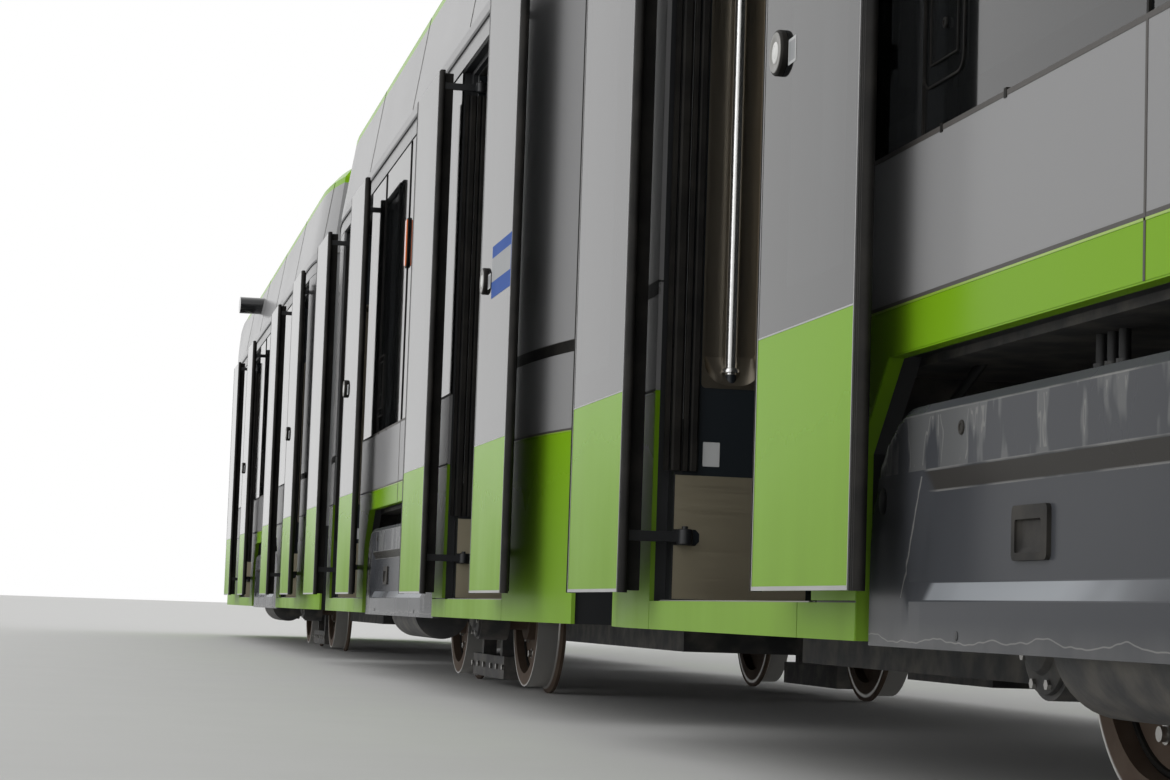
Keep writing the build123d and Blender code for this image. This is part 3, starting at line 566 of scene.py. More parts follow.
def length_setting(name, description, default):
    return bpy.props.FloatProperty(
        name=name, description=description, default=default, subtype="DISTANCE", unit="LENGTH", min=0.0)


def angle_setting(name, description, degrees):
    return bpy.props.FloatProperty(name=name, description=description, subtype="ANGLE", default=math.radians(degrees))


class TramPaint(bpy.types.PropertyGroup):
    """Colours of the tram."""
    silver: colour_setting("Silver", "Paint of the waist, roof sides and noses", (0.30, 0.30, 0.305))
    lime: colour_setting("Green", "Paint of the lower band, the leaves' feet and the roof edge", (0.205, 0.43, 0.004))
    slate: colour_setting("Slate", "Paint of the shrouds", (0.052, 0.055, 0.063))
    frame_black: colour_setting("Black", "Window and door frames", (0.012, 0.013, 0.015))
    dust: colour_setting("Dust", "Road dust on the lower parts", (0.20, 0.18, 0.15))
    dust_amount: bpy.props.FloatProperty(name="Dust amount", description="How much dust lies on the lower parts",
                                         default=0.35, min=0.0, max=1.0, subtype="FACTOR")
    equipment: colour_setting("Equipment", "Roof boxes", (0.42, 0.43, 0.44))
    cloth: colour_setting("Seat cloth", "Seat pads", (0.03, 0.05, 0.09))


class TramTrim(bpy.types.PropertyGroup):
    """Sizes of the trim."""
    kick_plate_top: length_setting("Kick plate top", "Height of the stainless plate in a doorway", 0.69)
    latch_width: length_setting("Latch width", "Width of the shroud's recessed latch", 0.145)
    latch_height: length_setting("Latch height", "Height of the shroud's recessed latch", 0.085)
    recess_depth: length_setting("Pressing depth", "How deep the shroud's panel is pressed in", 0.016)
    folds: bpy.props.IntProperty(name="Folds", description="Folds of each bellows", default=7, min=3, max=20)


class TramStage(bpy.types.PropertyGroup):
    """Camera, floor and light."""
    camera_place: bpy.props.FloatVectorProperty(
        name="Camera", description="Where the camera stands", default=(11.30, -2.65, 0.34), subtype="TRANSLATION",
        unit="LENGTH", size=3)
    heading: angle_setting("Heading", "Turn from the tram's own line", 11.27)
    pitch: angle_setting("Pitch", "Tilt upwards", 5.09)
    roll: angle_setting("Roll", "Tilt of the horizon", 1.91)
    focal_share: bpy.props.FloatProperty(name="Focal length", description="Focal length in picture widths",
                                         default=2500 / 1170, min=0.1)
    floor: colour_setting("Floor", "The plain floor", (0.62, 0.62, 0.61))
    sky: bpy.props.FloatProperty(name="Sky", description="Light from all round", default=0.8, min=0.0)
    lamp: bpy.props.FloatProperty(name="Lamp", description="Soft light from above", default=0.8, min=0.0)


# Operators

class Piece(NamedTuple):
    """One of a step's pieces: the start of its name, its material and how its edges are softened."""
    label: str
    material: str
    bevel: float = 0.0
    segments: int = 2
    angle: float = 35.0


class Step:
    """A step that dresses one place after another and builds its pieces there."""
    places = SECTIONS
    body = "section"
    pieces = ()

    def execute(self, context):
        for name, end in self.places:
            shapes = [Shape() for _ in self.pieces]
            self.dress(name, end, *shapes)
            self.declare(name, end, *(
                shape.build(f"{label}_{name}", material, self.body and f"{self.body}_{name}", *edges)
                for shape, (label, material, *edges) in zip(shapes, self.pieces) if shape.mesh.verts))
        return {"FINISHED"}

    def declare(self, name, end, *pieces):
        """Runs once a place's pieces are built: does nothing here, while steps whose pieces replace CAD parts hide
        those parts.
        """


class TRAM_OT_stage(bpy.types.Operator):
    """Sets up the floor, the light and the camera"""
    bl_idname = "tram.stage"
    bl_label = "Stage"

    def execute(self, context):
        stage = context.scene.tram_stage
        data = bpy.data.cameras.new("view")
        data.sensor_width = 36.0
        data.lens = stage.focal_share * data.sensor_width
        data.clip_start, data.clip_end = 0.05, 900.0
        camera = bpy.data.objects.new("view", data)
        context.scene.collection.objects.link(camera)
        camera.location = stage.camera_place
        heading = Matrix.Rotation(math.pi / 2 - stage.heading, 4, "Z")
        tilt = Matrix.Rotation(math.pi / 2 + stage.pitch, 4, "X")
        camera.rotation_euler = (heading @ tilt @ Matrix.Rotation(stage.roll, 4, "Z")).to_euler()
        context.scene.camera = camera

        floor = Shape()
        reach = 500.0
        floor.mesh.faces.new([floor.mesh.verts.new((x * reach, y * reach, 0)) for x, y in (
            (-1, -1), (1, -1), (1, 1), (-1, 1))])
        ground = Finish("floor", tuple(stage.floor), 0.85)
        speckle = ground.noise(3.0)
        ground.feed("Base Color", ground.between(speckle, [c * 0.94 for c in stage.floor], tuple(stage.floor)))
        plane = floor.build("floor", "floor", None)

        sun = bpy.data.lights.new("lamp", "SUN")
        sun.energy, sun.angle = stage.lamp, math.radians(50)
        lamp = bpy.data.objects.new("lamp", sun)
        lamp.rotation_euler = (math.radians(62), 0, math.radians(28))
        context.scene.collection.objects.link(lamp)

        world = bpy.data.worlds.new("sky")
        context.scene.world = world
        world.use_nodes = True
        tree = world.node_tree
        tree.nodes.clear()
        out, path, mix = (tree.nodes.new(f"ShaderNode{kind}") for kind in ("OutputWorld", "LightPath", "MixShader"))
        seen = path.outputs["Is Camera Ray"]
        for ray in ("Is Glossy Ray", "Is Transmission Ray"):
            either = tree.nodes.new("ShaderNodeMath")
            either.operation = "MAXIMUM"
            tree.links.new(seen, either.inputs[0])
            tree.links.new(path.outputs[ray], either.inputs[1])
            seen = either.outputs[0]
        tree.links.new(seen, mix.inputs[0])
        for slot, strength in enumerate((stage.sky, 1.0), 1):
            shader = tree.nodes.new("ShaderNodeBackground")
            shader.inputs["Color"].default_value = (1, 1, 1, 1)
            shader.inputs["Strength"].default_value = strength
            tree.links.new(shader.outputs[0], mix.inputs[slot])
        tree.links.new(mix.outputs[0], out.inputs["Surface"])
        context.scene.view_settings.view_transform = "Standard"
        return {"FINISHED"}


def walls(black):
    """Black frame behind the outer panels, and light lining on the side that faces the saloon."""
    made = Finish("wall_lining", black, 0.45)
    outer = made.place("Y").maths("ABSOLUTE").above(HALF_WIDTH - 0.059)
    patch = made.noise(3.0, detail=5.0)
    lining = made.between(patch, (0.24, 0.245, 0.25), (0.33, 0.335, 0.34))
    hidden = 1 - (1 - outer) * made.place("Z").above(ARCH_TOP + 0.015)
    made.show(made.between(hidden, lining, black), patch * 0.16 + 0.38,
              made.noise(240.0, detail=2.0) * (1 - outer), 0.0003, 0.6)


def slate(colour):
    """Shroud paint, with water marks that run down it, and painted light: shade on the pressing's upper slope,
    highlights on its lower slope and along its edges.
    """
    made = Finish("shroud_slate", colour, 0.3, specular_ior_level=0.05)
    height, spot = made.place("Z"), made.place("X")
    across = (spot - (spot * (1 / BOGIE_X["near"])).maths("ROUND") * BOGIE_X["near"]).maths("ABSOLUTE")
    patches = made.noise(2.2, (1, 1, 0.7), 5.0)
    runs = made.noise(11.0, (1, 1, 0.3), 3.0)
    middle = 1 - across.ramp(0.86, 0.90)

    def within(low, high, soft=0.0015):
        return height.ramp(low - soft, low) * (1 - height.ramp(high, high + soft))

    shade = made.between(runs.ramp(0.50, 0.54) * within(0.602, 0.697) * 0.8 + patches * 0.25,
                         colour, (0.125, 0.128, 0.130))
    outline = 1 - (runs - 0.56).maths("ABSOLUTE").ramp(0.003, 0.010)
    foot = 1 - height.ramp(SHROUD_LOW.z + 0.004, SHROUD_LOW.z + 0.055)
    wave = made.noise(7.0, (1, 1, 0), 2.0) * 0.05 + (SHROUD_LOW.z - 0.008)
    tide = 1 - (height - wave).maths("ABSOLUTE").ramp(0.0006, 0.0016)
    # Painted shade: the pressing's upper slope, which faces down, is darkened.
    shade = made.between(within(0.568, 0.597) * middle * 0.9, shade, (0.060, 0.056, 0.052))
    # Painted highlight: the pressing's lower slope, which faces up, is lightened in patches.
    shade = made.between(within(0.381, 0.409) * middle * made.noise(0.9).ramp(0.36, 0.56) * 0.9,
                         shade, (0.34, 0.36, 0.385))
    # Noise that breaks up the painted edge highlights in patches.
    highlight_breakup = made.noise(5.0, detail=3.0).ramp(0.25, 0.60)
    # Painted highlights: thin light lines along the upper slope's edges, the top chamfer's lower edge and the
    # pressing's slanted ends.
    lines = (within(0.5990, 0.6012) + within(0.5650, 0.5668)) * middle + within(0.6965, 0.6985)
    lean = across + height.maths("MINIMUM", 0.60) * 0.5227
    lines = lines + lean.ramp(1.2130, 1.2145) * (1 - lean.ramp(1.2175, 1.2190)) * within(0.385, 0.590)
    # Light marks: painted edge highlights, water-mark outlines, the tide line and dust at the foot.
    marks = lines * highlight_breakup * 0.75 + outline * within(0.610, 0.690) * 0.55 + tide * 0.6 + foot * runs * 0.4
    made.show(made.between(marks, shade, (0.235, 0.232, 0.225)), patches * 0.12 + 0.20, patches, 0.003, 0.3)


def brushed(name, colour, along, roughness=0.3):
    """Brushed stainless steel, with the brushing drawn out along one axis."""
    made = Finish(name, colour, roughness, 1.0)
    hair = made.noise(500.0, along, 2.0)
    stain = made.noise(5.0, detail=6.0)
    made.show(made.between(stain * 0.5, colour, [c * 0.55 for c in colour]),
              hair * 0.22 + stain * 0.14 + (roughness - 0.14), hair, 0.0002, 0.5)


def glass():
    """Dark tinted glass."""
    made = Finish("glass", (0.035, 0.038, 0.040), 0.03, transmission_weight=0.82, ior=1.52)
    film = made.noise(0.9, (1, 1, 0.6), 3.0)
    made.show(made.between(film, (0.030, 0.033, 0.035), (0.055, 0.058, 0.060)), film * 0.05 + 0.01,
              made.noise(1.6, detail=1.0), 0.003, 0.25)


def wheel():
    """A wheel's steel: a bright tread, and rust and dust further in."""
    made = Finish("wheel_finish", (0.2, 0.17, 0.15), 0.5, 0.6)
    spot = Value(made, made.node("ShaderNodeTexCoord").outputs["Generated"])
    part = made.node("ShaderNodeSeparateXYZ", sockets={0: spot})
    across, up = ((Value(made, part.outputs[axis]) - 0.5) ** 2.0 for axis in (0, 2))
    radius = (across + up) ** 0.5
    bright = radius.ramp(0.445, 0.458) * (1 - radius.ramp(0.468, 0.48))
    grain = made.noise(18.0, detail=6.0)
    rust = made.between(grain, (0.085, 0.052, 0.035), (0.16, 0.12, 0.09))
    made.show(made.between(bright, rust, (0.55, 0.54, 0.52)), 0.72 - bright * 0.45 + grain * 0.1, grain, 0.002, 0.6)
    made.feed("Metallic", bright * 0.6 + 0.35)


def folded_cloth():
    """The bellows' coated cloth, with dust in the valleys."""
    made = Finish("bellows_cloth", (0.022, 0.023, 0.025), 0.62)
    dust = made.noise(5.0, (1, 1, 0.3), 5.0).ramp(0.35, 0.8) * 0.35
    made.show(made.between(dust, (0.020, 0.021, 0.023), (0.10, 0.095, 0.085)), dust * 0.5 + 0.5,
              made.noise(420.0, detail=2.0), 0.0008, 0.6)


def lens():
    """A clear lamp lens over a bright reflector."""
    made = Finish("lamp_lens", (0.75, 0.77, 0.80), 0.12, 0.25, coat_weight=1.0, coat_roughness=0.03)
    ribs = made.noise(28.0, (6, 6, 0.4), 1.0)
    made.show(made.between(ribs, (0.62, 0.64, 0.68), (0.92, 0.93, 0.95)), ribs * 0.12 + 0.05, ribs, 0.002, 0.5)


def make_finishes(paint):
    """Makes every material and gives each part of the model its own."""
    silver, lime, black = paint.silver, paint.lime, paint.frame_black

    def paintwork(name, bands, roughness=0.2, mask=None, base=None, shine=0.04):
        """Paint in bands, each starting at a height, with dust near the floor."""
        made = Finish(name, bands[0][1], roughness, specular_ior_level=shine)
        height, colour = made.place("Z"), bands[0][1]
        for start, tint in bands[1:]:
            colour = made.between(height.above(start), colour, tint)
        if mask:
            colour = made.between(mask(made), base, colour)
        soft = made.noise(1.3, (1, 1, 1.6), 5.0)
        streak = made.noise(9.0, (1, 1, 0.12), 3.0)
        low = (1 - height.ramp(SILL - 0.05, SILL + 0.75)) * (streak * 0.7 + soft * 0.6) * paint.dust_amount
        film = made.noise(0.6, detail=2.0) * 0.05
        made.show(made.between(low + film, colour, paint.dust), low * 0.9 + soft * 0.10 + (roughness - 0.05),
                  made.noise(1.1, detail=1.0), 0.004, 0.35)

    def plain(name, colour, roughness, metallic=0.0, grain=60.0, depth=0.0004, mottle=0.25, dusty=0.0, **more):
        """A finish of one colour with fine grain, soft mottling and dust in patches."""
        made = Finish(name, colour, roughness, metallic, **more)
        patch = made.noise(4.0, detail=6.0)
        shade = made.between(patch * mottle, colour, [c * 0.35 for c in colour])
        if dusty:
            shade = made.between(made.noise(11.0, detail=5.0).ramp(0.35, 0.75) * dusty, shade, paint.dust)
        made.show(shade, patch * 0.16 + (roughness - 0.08), made.noise(grain, detail=3.0), depth, 0.8)

    paintwork("side_paint", ((0, lime), (BAND_TOP, silver)))
    paintwork("roof_paint", ((0, silver), (ROOF_EDGE - 0.11, lime)), base=(0.45, 0.45, 0.44),
              mask=lambda made: 1 - (1 - made.place("Z").above(CANTRAIL + 0.003))
              * (1 - made.place("Y").maths("ABSOLUTE").above(HALF_WIDTH - 0.07)))
    paintwork("leaf_paint", ((0, lime), (LEAF_GLASS_BOTTOM, black)), base=black,
              mask=lambda made: (0.0 - made.place("Y")).above(HALF_WIDTH + LEAF_OUT - 0.002)
              + made.place("Y").above(HALF_WIDTH - 0.002))
    paintwork("black_gloss", ((0, black),), 0.12, shine=0.5)
    plain("frame_black", black, 0.42, depth=0.0002, mottle=0.4)
    plain("rubber", (0.010, 0.0095, 0.009), 0.55, grain=180.0, depth=0.0006, dusty=0.06, specular_ior_level=0.12)
    plain("button_ring", (0.27, 0.265, 0.25), 0.4)
    plain("sticker_grey", (0.33, 0.34, 0.35), 0.5)
    plain("sticker_blue", (0.006, 0.075, 0.36), 0.5, specular_ior_level=0.08)
    plain("latch_black", (0.022, 0.021, 0.020), 0.5, dusty=0.15, specular_ior_level=0.10)
    plain("trim_line", (0.42, 0.42, 0.42), 0.35, 0.8)
    plain("threshold", (0.40, 0.39, 0.37), 0.42, 0.75, grain=90.0, depth=0.0008, mottle=0.6, dusty=0.35)
    plain("underbody", (0.030, 0.031, 0.033), 0.7, grain=40.0, depth=0.0016, dusty=0.45)
    plain("cast_steel", (0.050, 0.050, 0.052), 0.62, 0.2, grain=35.0, depth=0.0016, dusty=0.5)
    plain("doorway_panel", (0.012, 0.016, 0.020), 0.38, grain=220.0, depth=0.0003, specular_ior_level=0.35)
    plain("roof_box", paint.equipment, 0.45, grain=30.0, depth=0.0008, mottle=0.35, dusty=0.2)
    plain("grille", (0.06, 0.06, 0.065), 0.5, 0.3)
    plain("bolt_steel", (0.45, 0.44, 0.42), 0.35, 0.9)
    plain("mast_steel", (0.20, 0.21, 0.22), 0.42, 0.35, dusty=0.15)
    plain("carbon", (0.02, 0.02, 0.022), 0.55)
    plain("insulator", (0.20, 0.075, 0.035), 0.2, coat_weight=0.6)
    plain("cable", (0.018, 0.018, 0.019), 0.55, grain=120.0)
    plain("orange_lens", (0.85, 0.16, 0.01), 0.2, coat_weight=0.8)
    plain("label", (0.55, 0.56, 0.56), 0.45)
    plain("pole_steel", (0.60, 0.60, 0.59), 0.22, 0.95)
    plain("seat_cloth", paint.cloth, 0.9, grain=500.0, depth=0.0012, sheen_weight=0.4)
    plain("sealant", (0.085, 0.078, 0.072), 0.6, grain=150.0, depth=0.0005, mottle=0.5)
    # A light green line under the band's top seam: a painted highlight.
    plain("band_edge", (0.33, 0.52, 0.06), 0.3)
    plain("red_lens", (0.45, 0.01, 0.01), 0.18, coat_weight=0.8)
    plain("floor_covering", (0.085, 0.09, 0.10), 0.55, grain=320.0, depth=0.0006, mottle=0.7)
    plain("step_edge", (0.55, 0.40, 0.03), 0.5, grain=260.0, depth=0.0010, mottle=0.5)
    plain("strap_plastic", (0.05, 0.055, 0.06), 0.4)
    plain("diffuser", (0.75, 0.75, 0.73), 0.35)
    plain("spring_steel", (0.035, 0.036, 0.038), 0.45, 0.3, grain=60.0, dusty=0.3)
    walls(black)
    slate(paint.slate)
    brushed("stainless", (0.30, 0.265, 0.21), (1, 1, 0.01))
    brushed("stainless_flat", (0.58, 0.52, 0.38), (0.01, 0.01, 1), 0.40)
    glass()
    wheel()
    folded_cloth()
    lens()

    finishes = {
        "underframe": "underbody", "side_walls": "wall_lining", "skins": "side_paint", "glazing": "glass",
        "roof": "roof_paint", "roof_equipment": "roof_box", "doors": "leaf_paint", "interior": "doorway_panel",
        "bogie_frame": "cast_steel", "shrouds": "shroud_slate", "wheelset": "wheel_finish",
        "nose": "side_paint", "cab_glass": "glass", "lamps": "lamp_lens", "camera_pods": "black_gloss",
        "bellows": "bellows_cloth", "pantograph_base": "mast_steel", "pantograph_lower_arm": "mast_steel",
        "pantograph_upper_arm": "mast_steel", "pantograph_head": "carbon",
    }
    for name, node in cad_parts.items():
        kind = max((key for key in finishes if name.startswith(key)), key=len)
        node.data.materials.clear()
        node.data.materials.append(finish(finishes[kind]))


class TRAM_OT_finishes(bpy.types.Operator):
    """Makes the materials and gives each part of the model its own"""
    bl_idname = "tram.finishes"
    bl_label = "Finishes"

    def execute(self, context):
        make_finishes(context.scene.tram_paint)
        return {"FINISHED"}


def ribbed(width, depth, ribs, swell):
    """The section of a rubber edge: ribs along its outer face and a round nose at its far end."""
    outline = [(0, -depth / 2), (width - depth / 2, -depth / 2)]
    for i in range(1, 6):
        angle = math.radians(-90 + 180 * i / 6)
        outline.append((width - depth / 2 + depth / 2 * math.cos(angle), depth / 2 * math.sin(angle)))
    steps = ribs * 6
    flat = width - depth / 2
    for i in range(steps + 1):
        share = i / steps
        outline.append((flat * (1 - share), depth / 2 + swell * abs(math.sin(math.pi * ribs * share))))
    return outline


class TRAM_OT_door_leaves(Step, bpy.types.Operator):
    """Replaces the door leaves with slim framed ones, and adds their guide arms and rollers"""
    bl_idname = "tram.door_leaves"
    bl_label = "Door leaves"
    pieces = (Piece("door_panels", "leaf_paint"), Piece("guide_arms", "frame_black", bevel=0.001),
              Piece("leaf_seals", "rubber", bevel=0.002))

    def dress(self, name, end, panels, arms, frames):
        near, far = LEAF_WINDOW[0], LEAF_WIDTH - LEAF_WINDOW[1]
        foot, head, rim = LEAF_BOTTOM + 0.004, LEAF_TOP - 0.004, LEAF_WIDTH - 0.040
        for leaf in leaves(name):
            for start, stop, low, high, front in (
                    (0, LEAF_WIDTH, LEAF_BOTTOM, LEAF_GLASS_BOTTOM, 0),
                    (0, near, LEAF_GLASS_BOTTOM, LEAF_TOP, PANE),
                    (far, LEAF_WIDTH, LEAF_GLASS_BOTTOM, LEAF_TOP, PANE),
                    (near, far, LEAF_GLASS_BOTTOM, LEAF_GLASS_BOTTOM + LEAF_WINDOW[1], PANE),
                    (near, far, LEAF_TOP - LEAF_WINDOW[1], LEAF_TOP, PANE)):
                panels.brick(leaf.at(start, front, low), leaf.at(stop, LEAF_THICKNESS, high))
            for start, stop, low, high, back in (
                    (0.004, 0.040, foot, head, LEAF_BACK if leaf.is_open else LEAF_BACK_CLOSED),
                    (rim, LEAF_WIDTH - 0.010, foot, head, LEAF_RIM),
                    (0.040, rim, foot, LEAF_BOTTOM + 0.040, LEAF_RIM),
                    (0.040, rim, LEAF_TOP - 0.040, head, LEAF_RIM)):
                frames.brick(leaf.at(start, LEAF_THICKNESS, low), leaf.at(stop, back, high))
            if not leaf.is_open:
                continue
            jamb = leaf.door + leaf.way * DOOR_CLEAR / 2
            x, y = jamb - leaf.way * 0.024, leaf.side * (HALF_WIDTH - 0.067)
            for z in GUIDE_HEIGHTS:
                arms.brick((jamb - leaf.way * 0.002, y, z - 0.013),
                           (jamb - leaf.way * 0.017, leaf.face - leaf.side * LEAF_THICKNESS, z + 0.013))
                arms.lathe([(AXIS, -0.020), (0.017, -0.020), (0.020, -0.017), (0.020, 0.017), (0.017, 0.020),
                            (AXIS, 0.020)], (x, y, z), UP, 28)
                arms.lathe([(AXIS, 0.018), (0.008, 0.018), (0.008, 0.027), (AXIS, 0.027)], (x, y, z), UP, 12)

    def declare(self, name, end, panels, arms, frames):
        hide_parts(f"doors_{name}")


class TRAM_OT_door_edges(Step, bpy.types.Operator):
    """Adds the ribbed rubbers and the light trim along the edges of the door leaves"""
    bl_idname = "tram.door_edges"
    bl_label = "Door edges"
    pieces = (Piece("door_rubbers", "rubber"), Piece("door_trim", "trim_line"))

    def dress(self, name, end, rubber, trim):
        for leaf in leaves(name):
            for width, ribs, swell, root, way in ((CLOSING_SEAL + 0.0004, 2, 0.002, 0, -1),
                                                  (OUTER_SEAL + 0.001, 3, 0.0025, LEAF_WIDTH, 1)):
                rubber.prism(ribbed(width, LEAF_THICKNESS - 0.005, ribs, swell),
                             lambda u, v, w: leaf.at(root + way * u, LEAF_THICKNESS / 2 - v, w),
                             LEAF_BOTTOM - 0.002, LEAF_TOP + 0.002)
            for start, stop, proud, back, low, high in (
                    (-0.0005, 0.0025, 0.0012, 0.006, LEAF_BOTTOM - 0.001, LEAF_TOP + 0.001),
                    (LEAF_WIDTH + 0.0005, LEAF_WIDTH - 0.0025, 0.0012, 0.006, LEAF_BOTTOM - 0.001, LEAF_TOP + 0.001),
                    (0, LEAF_WIDTH, 0.0012, 0.012, LEAF_BOTTOM - 0.001, LEAF_BOTTOM + 0.007),
                    (0, LEAF_WIDTH, 0.0008, 0.003, LEAF_GLASS_BOTTOM - 0.003, LEAF_GLASS_BOTTOM)):
                trim.brick(leaf.at(start, -proud, low), leaf.at(stop, back, high))


class TRAM_OT_door_buttons(Step, bpy.types.Operator):
    """Adds the door buttons and the bare stickers on the leaves' glass"""
    bl_idname = "tram.door_buttons"
    bl_label = "Door buttons"
    pieces = (Piece("button_bases", "rubber", bevel=0.0008), Piece("button_rings", "button_ring"),
              Piece("button_caps", "diffuser"), Piece("bare_stickers", "label"),
              Piece("sticker_fields", "sticker_grey"))

    def dress(self, name, end, base, ring, cap, plate, field):
        for leaf in leaves(name):
            if leaf.way != -leaf.side:
                continue
            x = leaf.edge + leaf.way * (CLOSING_SEAL + BUTTON_FROM_EDGE)
            centre, out = (x, leaf.face, BUTTON_HEIGHT), (0, leaf.side, 0)
            base.lathe([(0.0438, -PANE), (0.0438, 0.0), (0.0455, 0.0), (0.0455, 0.0100), (0.0435, 0.0128),
                        (0.0410, 0.0138), (AXIS, 0.0138)], centre, out, 56)
            ring.lathe([(0.0280, 0.0130), (0.0400, 0.0130), (0.0400, 0.0144), (0.0390, 0.0152), (0.0300, 0.0152),
                        (0.0280, 0.0140)], centre, out, 56)
            cap.lathe([(0.0215, 0.0130), (0.0215, 0.0144), (0.0205, 0.0150), (0.0140, 0.0156), (0.0130, 0.0150),
                       (0.0120, 0.0156), (AXIS, 0.0160)], centre, out, 48)
            low, high = sorted((x + leaf.way * 0.048, x + leaf.way * 0.100))
            place = on_side(leaf.side, abs(leaf.face))
            plate.prism(rounded((low, 1.410), (high, 1.461), 0.002), place, 0.0002, 0.0006)
            field.prism(rounded((low + 0.006, 1.416), (high - 0.006, 1.455), 0.001), place, 0.0006, 0.0008)
            if name == "middle" and leaf.way > 0 and leaf.door > 0:
                stop = leaf.edge + CLOSING_SEAL + LEAF_WIDTH - 0.004
                blue = Shape().prism(rounded((stop - 0.380, 1.370), (stop, 1.545), 0.004), place, 0.0002, 0.0006)
                blue.build("blue_sticker", "sticker_blue", "section_middle")
                field.prism(rounded((stop - 0.380, 1.425), (stop - 0.010, 1.505), 0.002), place, 0.0006, 0.0008)


class TRAM_OT_doorways(Step, bpy.types.Operator):
    """Fits out the open doorways: kick plates, ribbed frames and thresholds"""
    bl_idname = "tram.doorways"
    bl_label = "Doorways"
    pieces = (Piece("kick_plates", "stainless_flat"), Piece("doorway_ribs", "rubber"),
              Piece("thresholds", "threshold"), Piece("doorway_plates", "label"))

    def dress(self, name, end, plates, ribs, tread, labels):
        top = bpy.context.scene.tram_trim.kick_plate_top
        for jamb, way, side in jambs(name):
            def place(u, v, w):
                return jamb - way * w, side * u, v

            plates.prism([(1.206, 0.382), (1.206, 0.515), (1.150, 0.515), (1.140, 0.525), (1.140, 0.545),
                          (1.150, 0.555), (1.206, 0.555), (1.206, top), (0.862, top), (0.862, 0.382)],
                         place, 0.0004, 0.0022)
            for start, width in ((1.152, 0.020), (1.176, 0.014), (1.194, 0.026), (1.224, 0.014)):
                ribs.prism([(start, 0.002), (start, 0.009), (start + width * 0.2, 0.013),
                            (start + width * 0.8, 0.013), (start + width, 0.009), (start + width, 0.002)],
                           lambda u, v, w: (jamb - way * v, side * u, w), 0.70, 2.37)
            labels.prism(rounded((1.094, 0.714), (1.137, 0.775), 0.002), place, 0.0004, 0.0012)
        for door in door_centres(name):
            left, right = door - DOOR_CLEAR / 2, door + DOOR_CLEAR / 2
            for side in BOTH:
                for i in range(9):
                    y = HALF_WIDTH - 0.014 - 0.012 * i
                    tread.brick((left + 0.003, side * y, FLOOR_TOP),
                                (right - 0.003, side * (y - 0.007), FLOOR_TOP + 0.003))
                tread.brick((left + 0.002, side * (HALF_WIDTH - 0.011), FLOOR_TOP - 0.006),
                            (right - 0.002, side * (HALF_WIDTH - 0.125), FLOOR_TOP + 0.0012))


def clamped(value):
    """A share, kept between 0 and 1."""
    return min(1.0, max(0.0, value))


def shroud_bend(u):
    """How far a shroud's bent end lies in from the side's face, at a distance from its middle."""
    return -0.012 * max(0.0, (abs(u) - SHROUD_HALF + 0.315) / 0.315)


def shroud_top(u):
    """The height of a shroud's top, which is round at its ends."""
    past = abs(u) - (SHROUD_HALF - SHROUD_CORNER)
    if past <= 0:
        return SHROUD_HIGH.z
    return SHROUD_HIGH.z - SHROUD_CORNER + math.sqrt(max(0.0, SHROUD_CORNER ** 2 - past ** 2))


def shroud_face(u, z, pressed):
    """How far a shroud's face lies out from the side's, with its pressed field and its chamfered top."""
    low, low_in, high_in, high = PRESS_HEIGHTS
    press = min(clamped((PRESS_X + PRESS_LEAN * max(0, (high - z) / 0.22) - abs(u)) / (PRESS_X - PRESS_X_IN)),
                clamped((z - low) / (low_in - low)), clamped((high - z) / (high - high_in)))
    chamfer = clamped((z - shroud_top(u)) / SHROUD_CHAMFER + 1)
    return shroud_bend(u) - pressed * press - 0.014 * chamfer


def shroud_grid():
    """The columns and rows of points that a shroud is made of."""
    bottom, top = SHROUD_LOW.z, SHROUD_HIGH.z
    low_in, high_in, high = PRESS_HEIGHTS[1:]
    columns = {round(s * value, 5) for s in BOTH for value in (
        [SHROUD_HALF - SHROUD_CORNER * (1 - math.cos(math.radians(a))) for a in range(0, 91, 6)]
        + [x + PRESS_LEAN * k / 6 for x in (PRESS_X, PRESS_X_IN) for k in range(7)]
        + [PRESS_X_IN * k / 14 for k in range(15)] + [SHROUD_HALF - 0.05 * k for k in range(7)])}
    rows = {bottom, bottom + 0.004, *PRESS_HEIGHTS, top - SHROUD_CHAMFER, top,
            *(low_in + (high_in - low_in) * k / 5 for k in range(1, 5)),
            *(high + (top - high) * k / 4 for k in range(1, 4)),
            *(top - SHROUD_CORNER + SHROUD_CORNER * math.sin(math.radians(a)) for a in range(0, 90, 9))}
    return sorted(columns), sorted(rows)


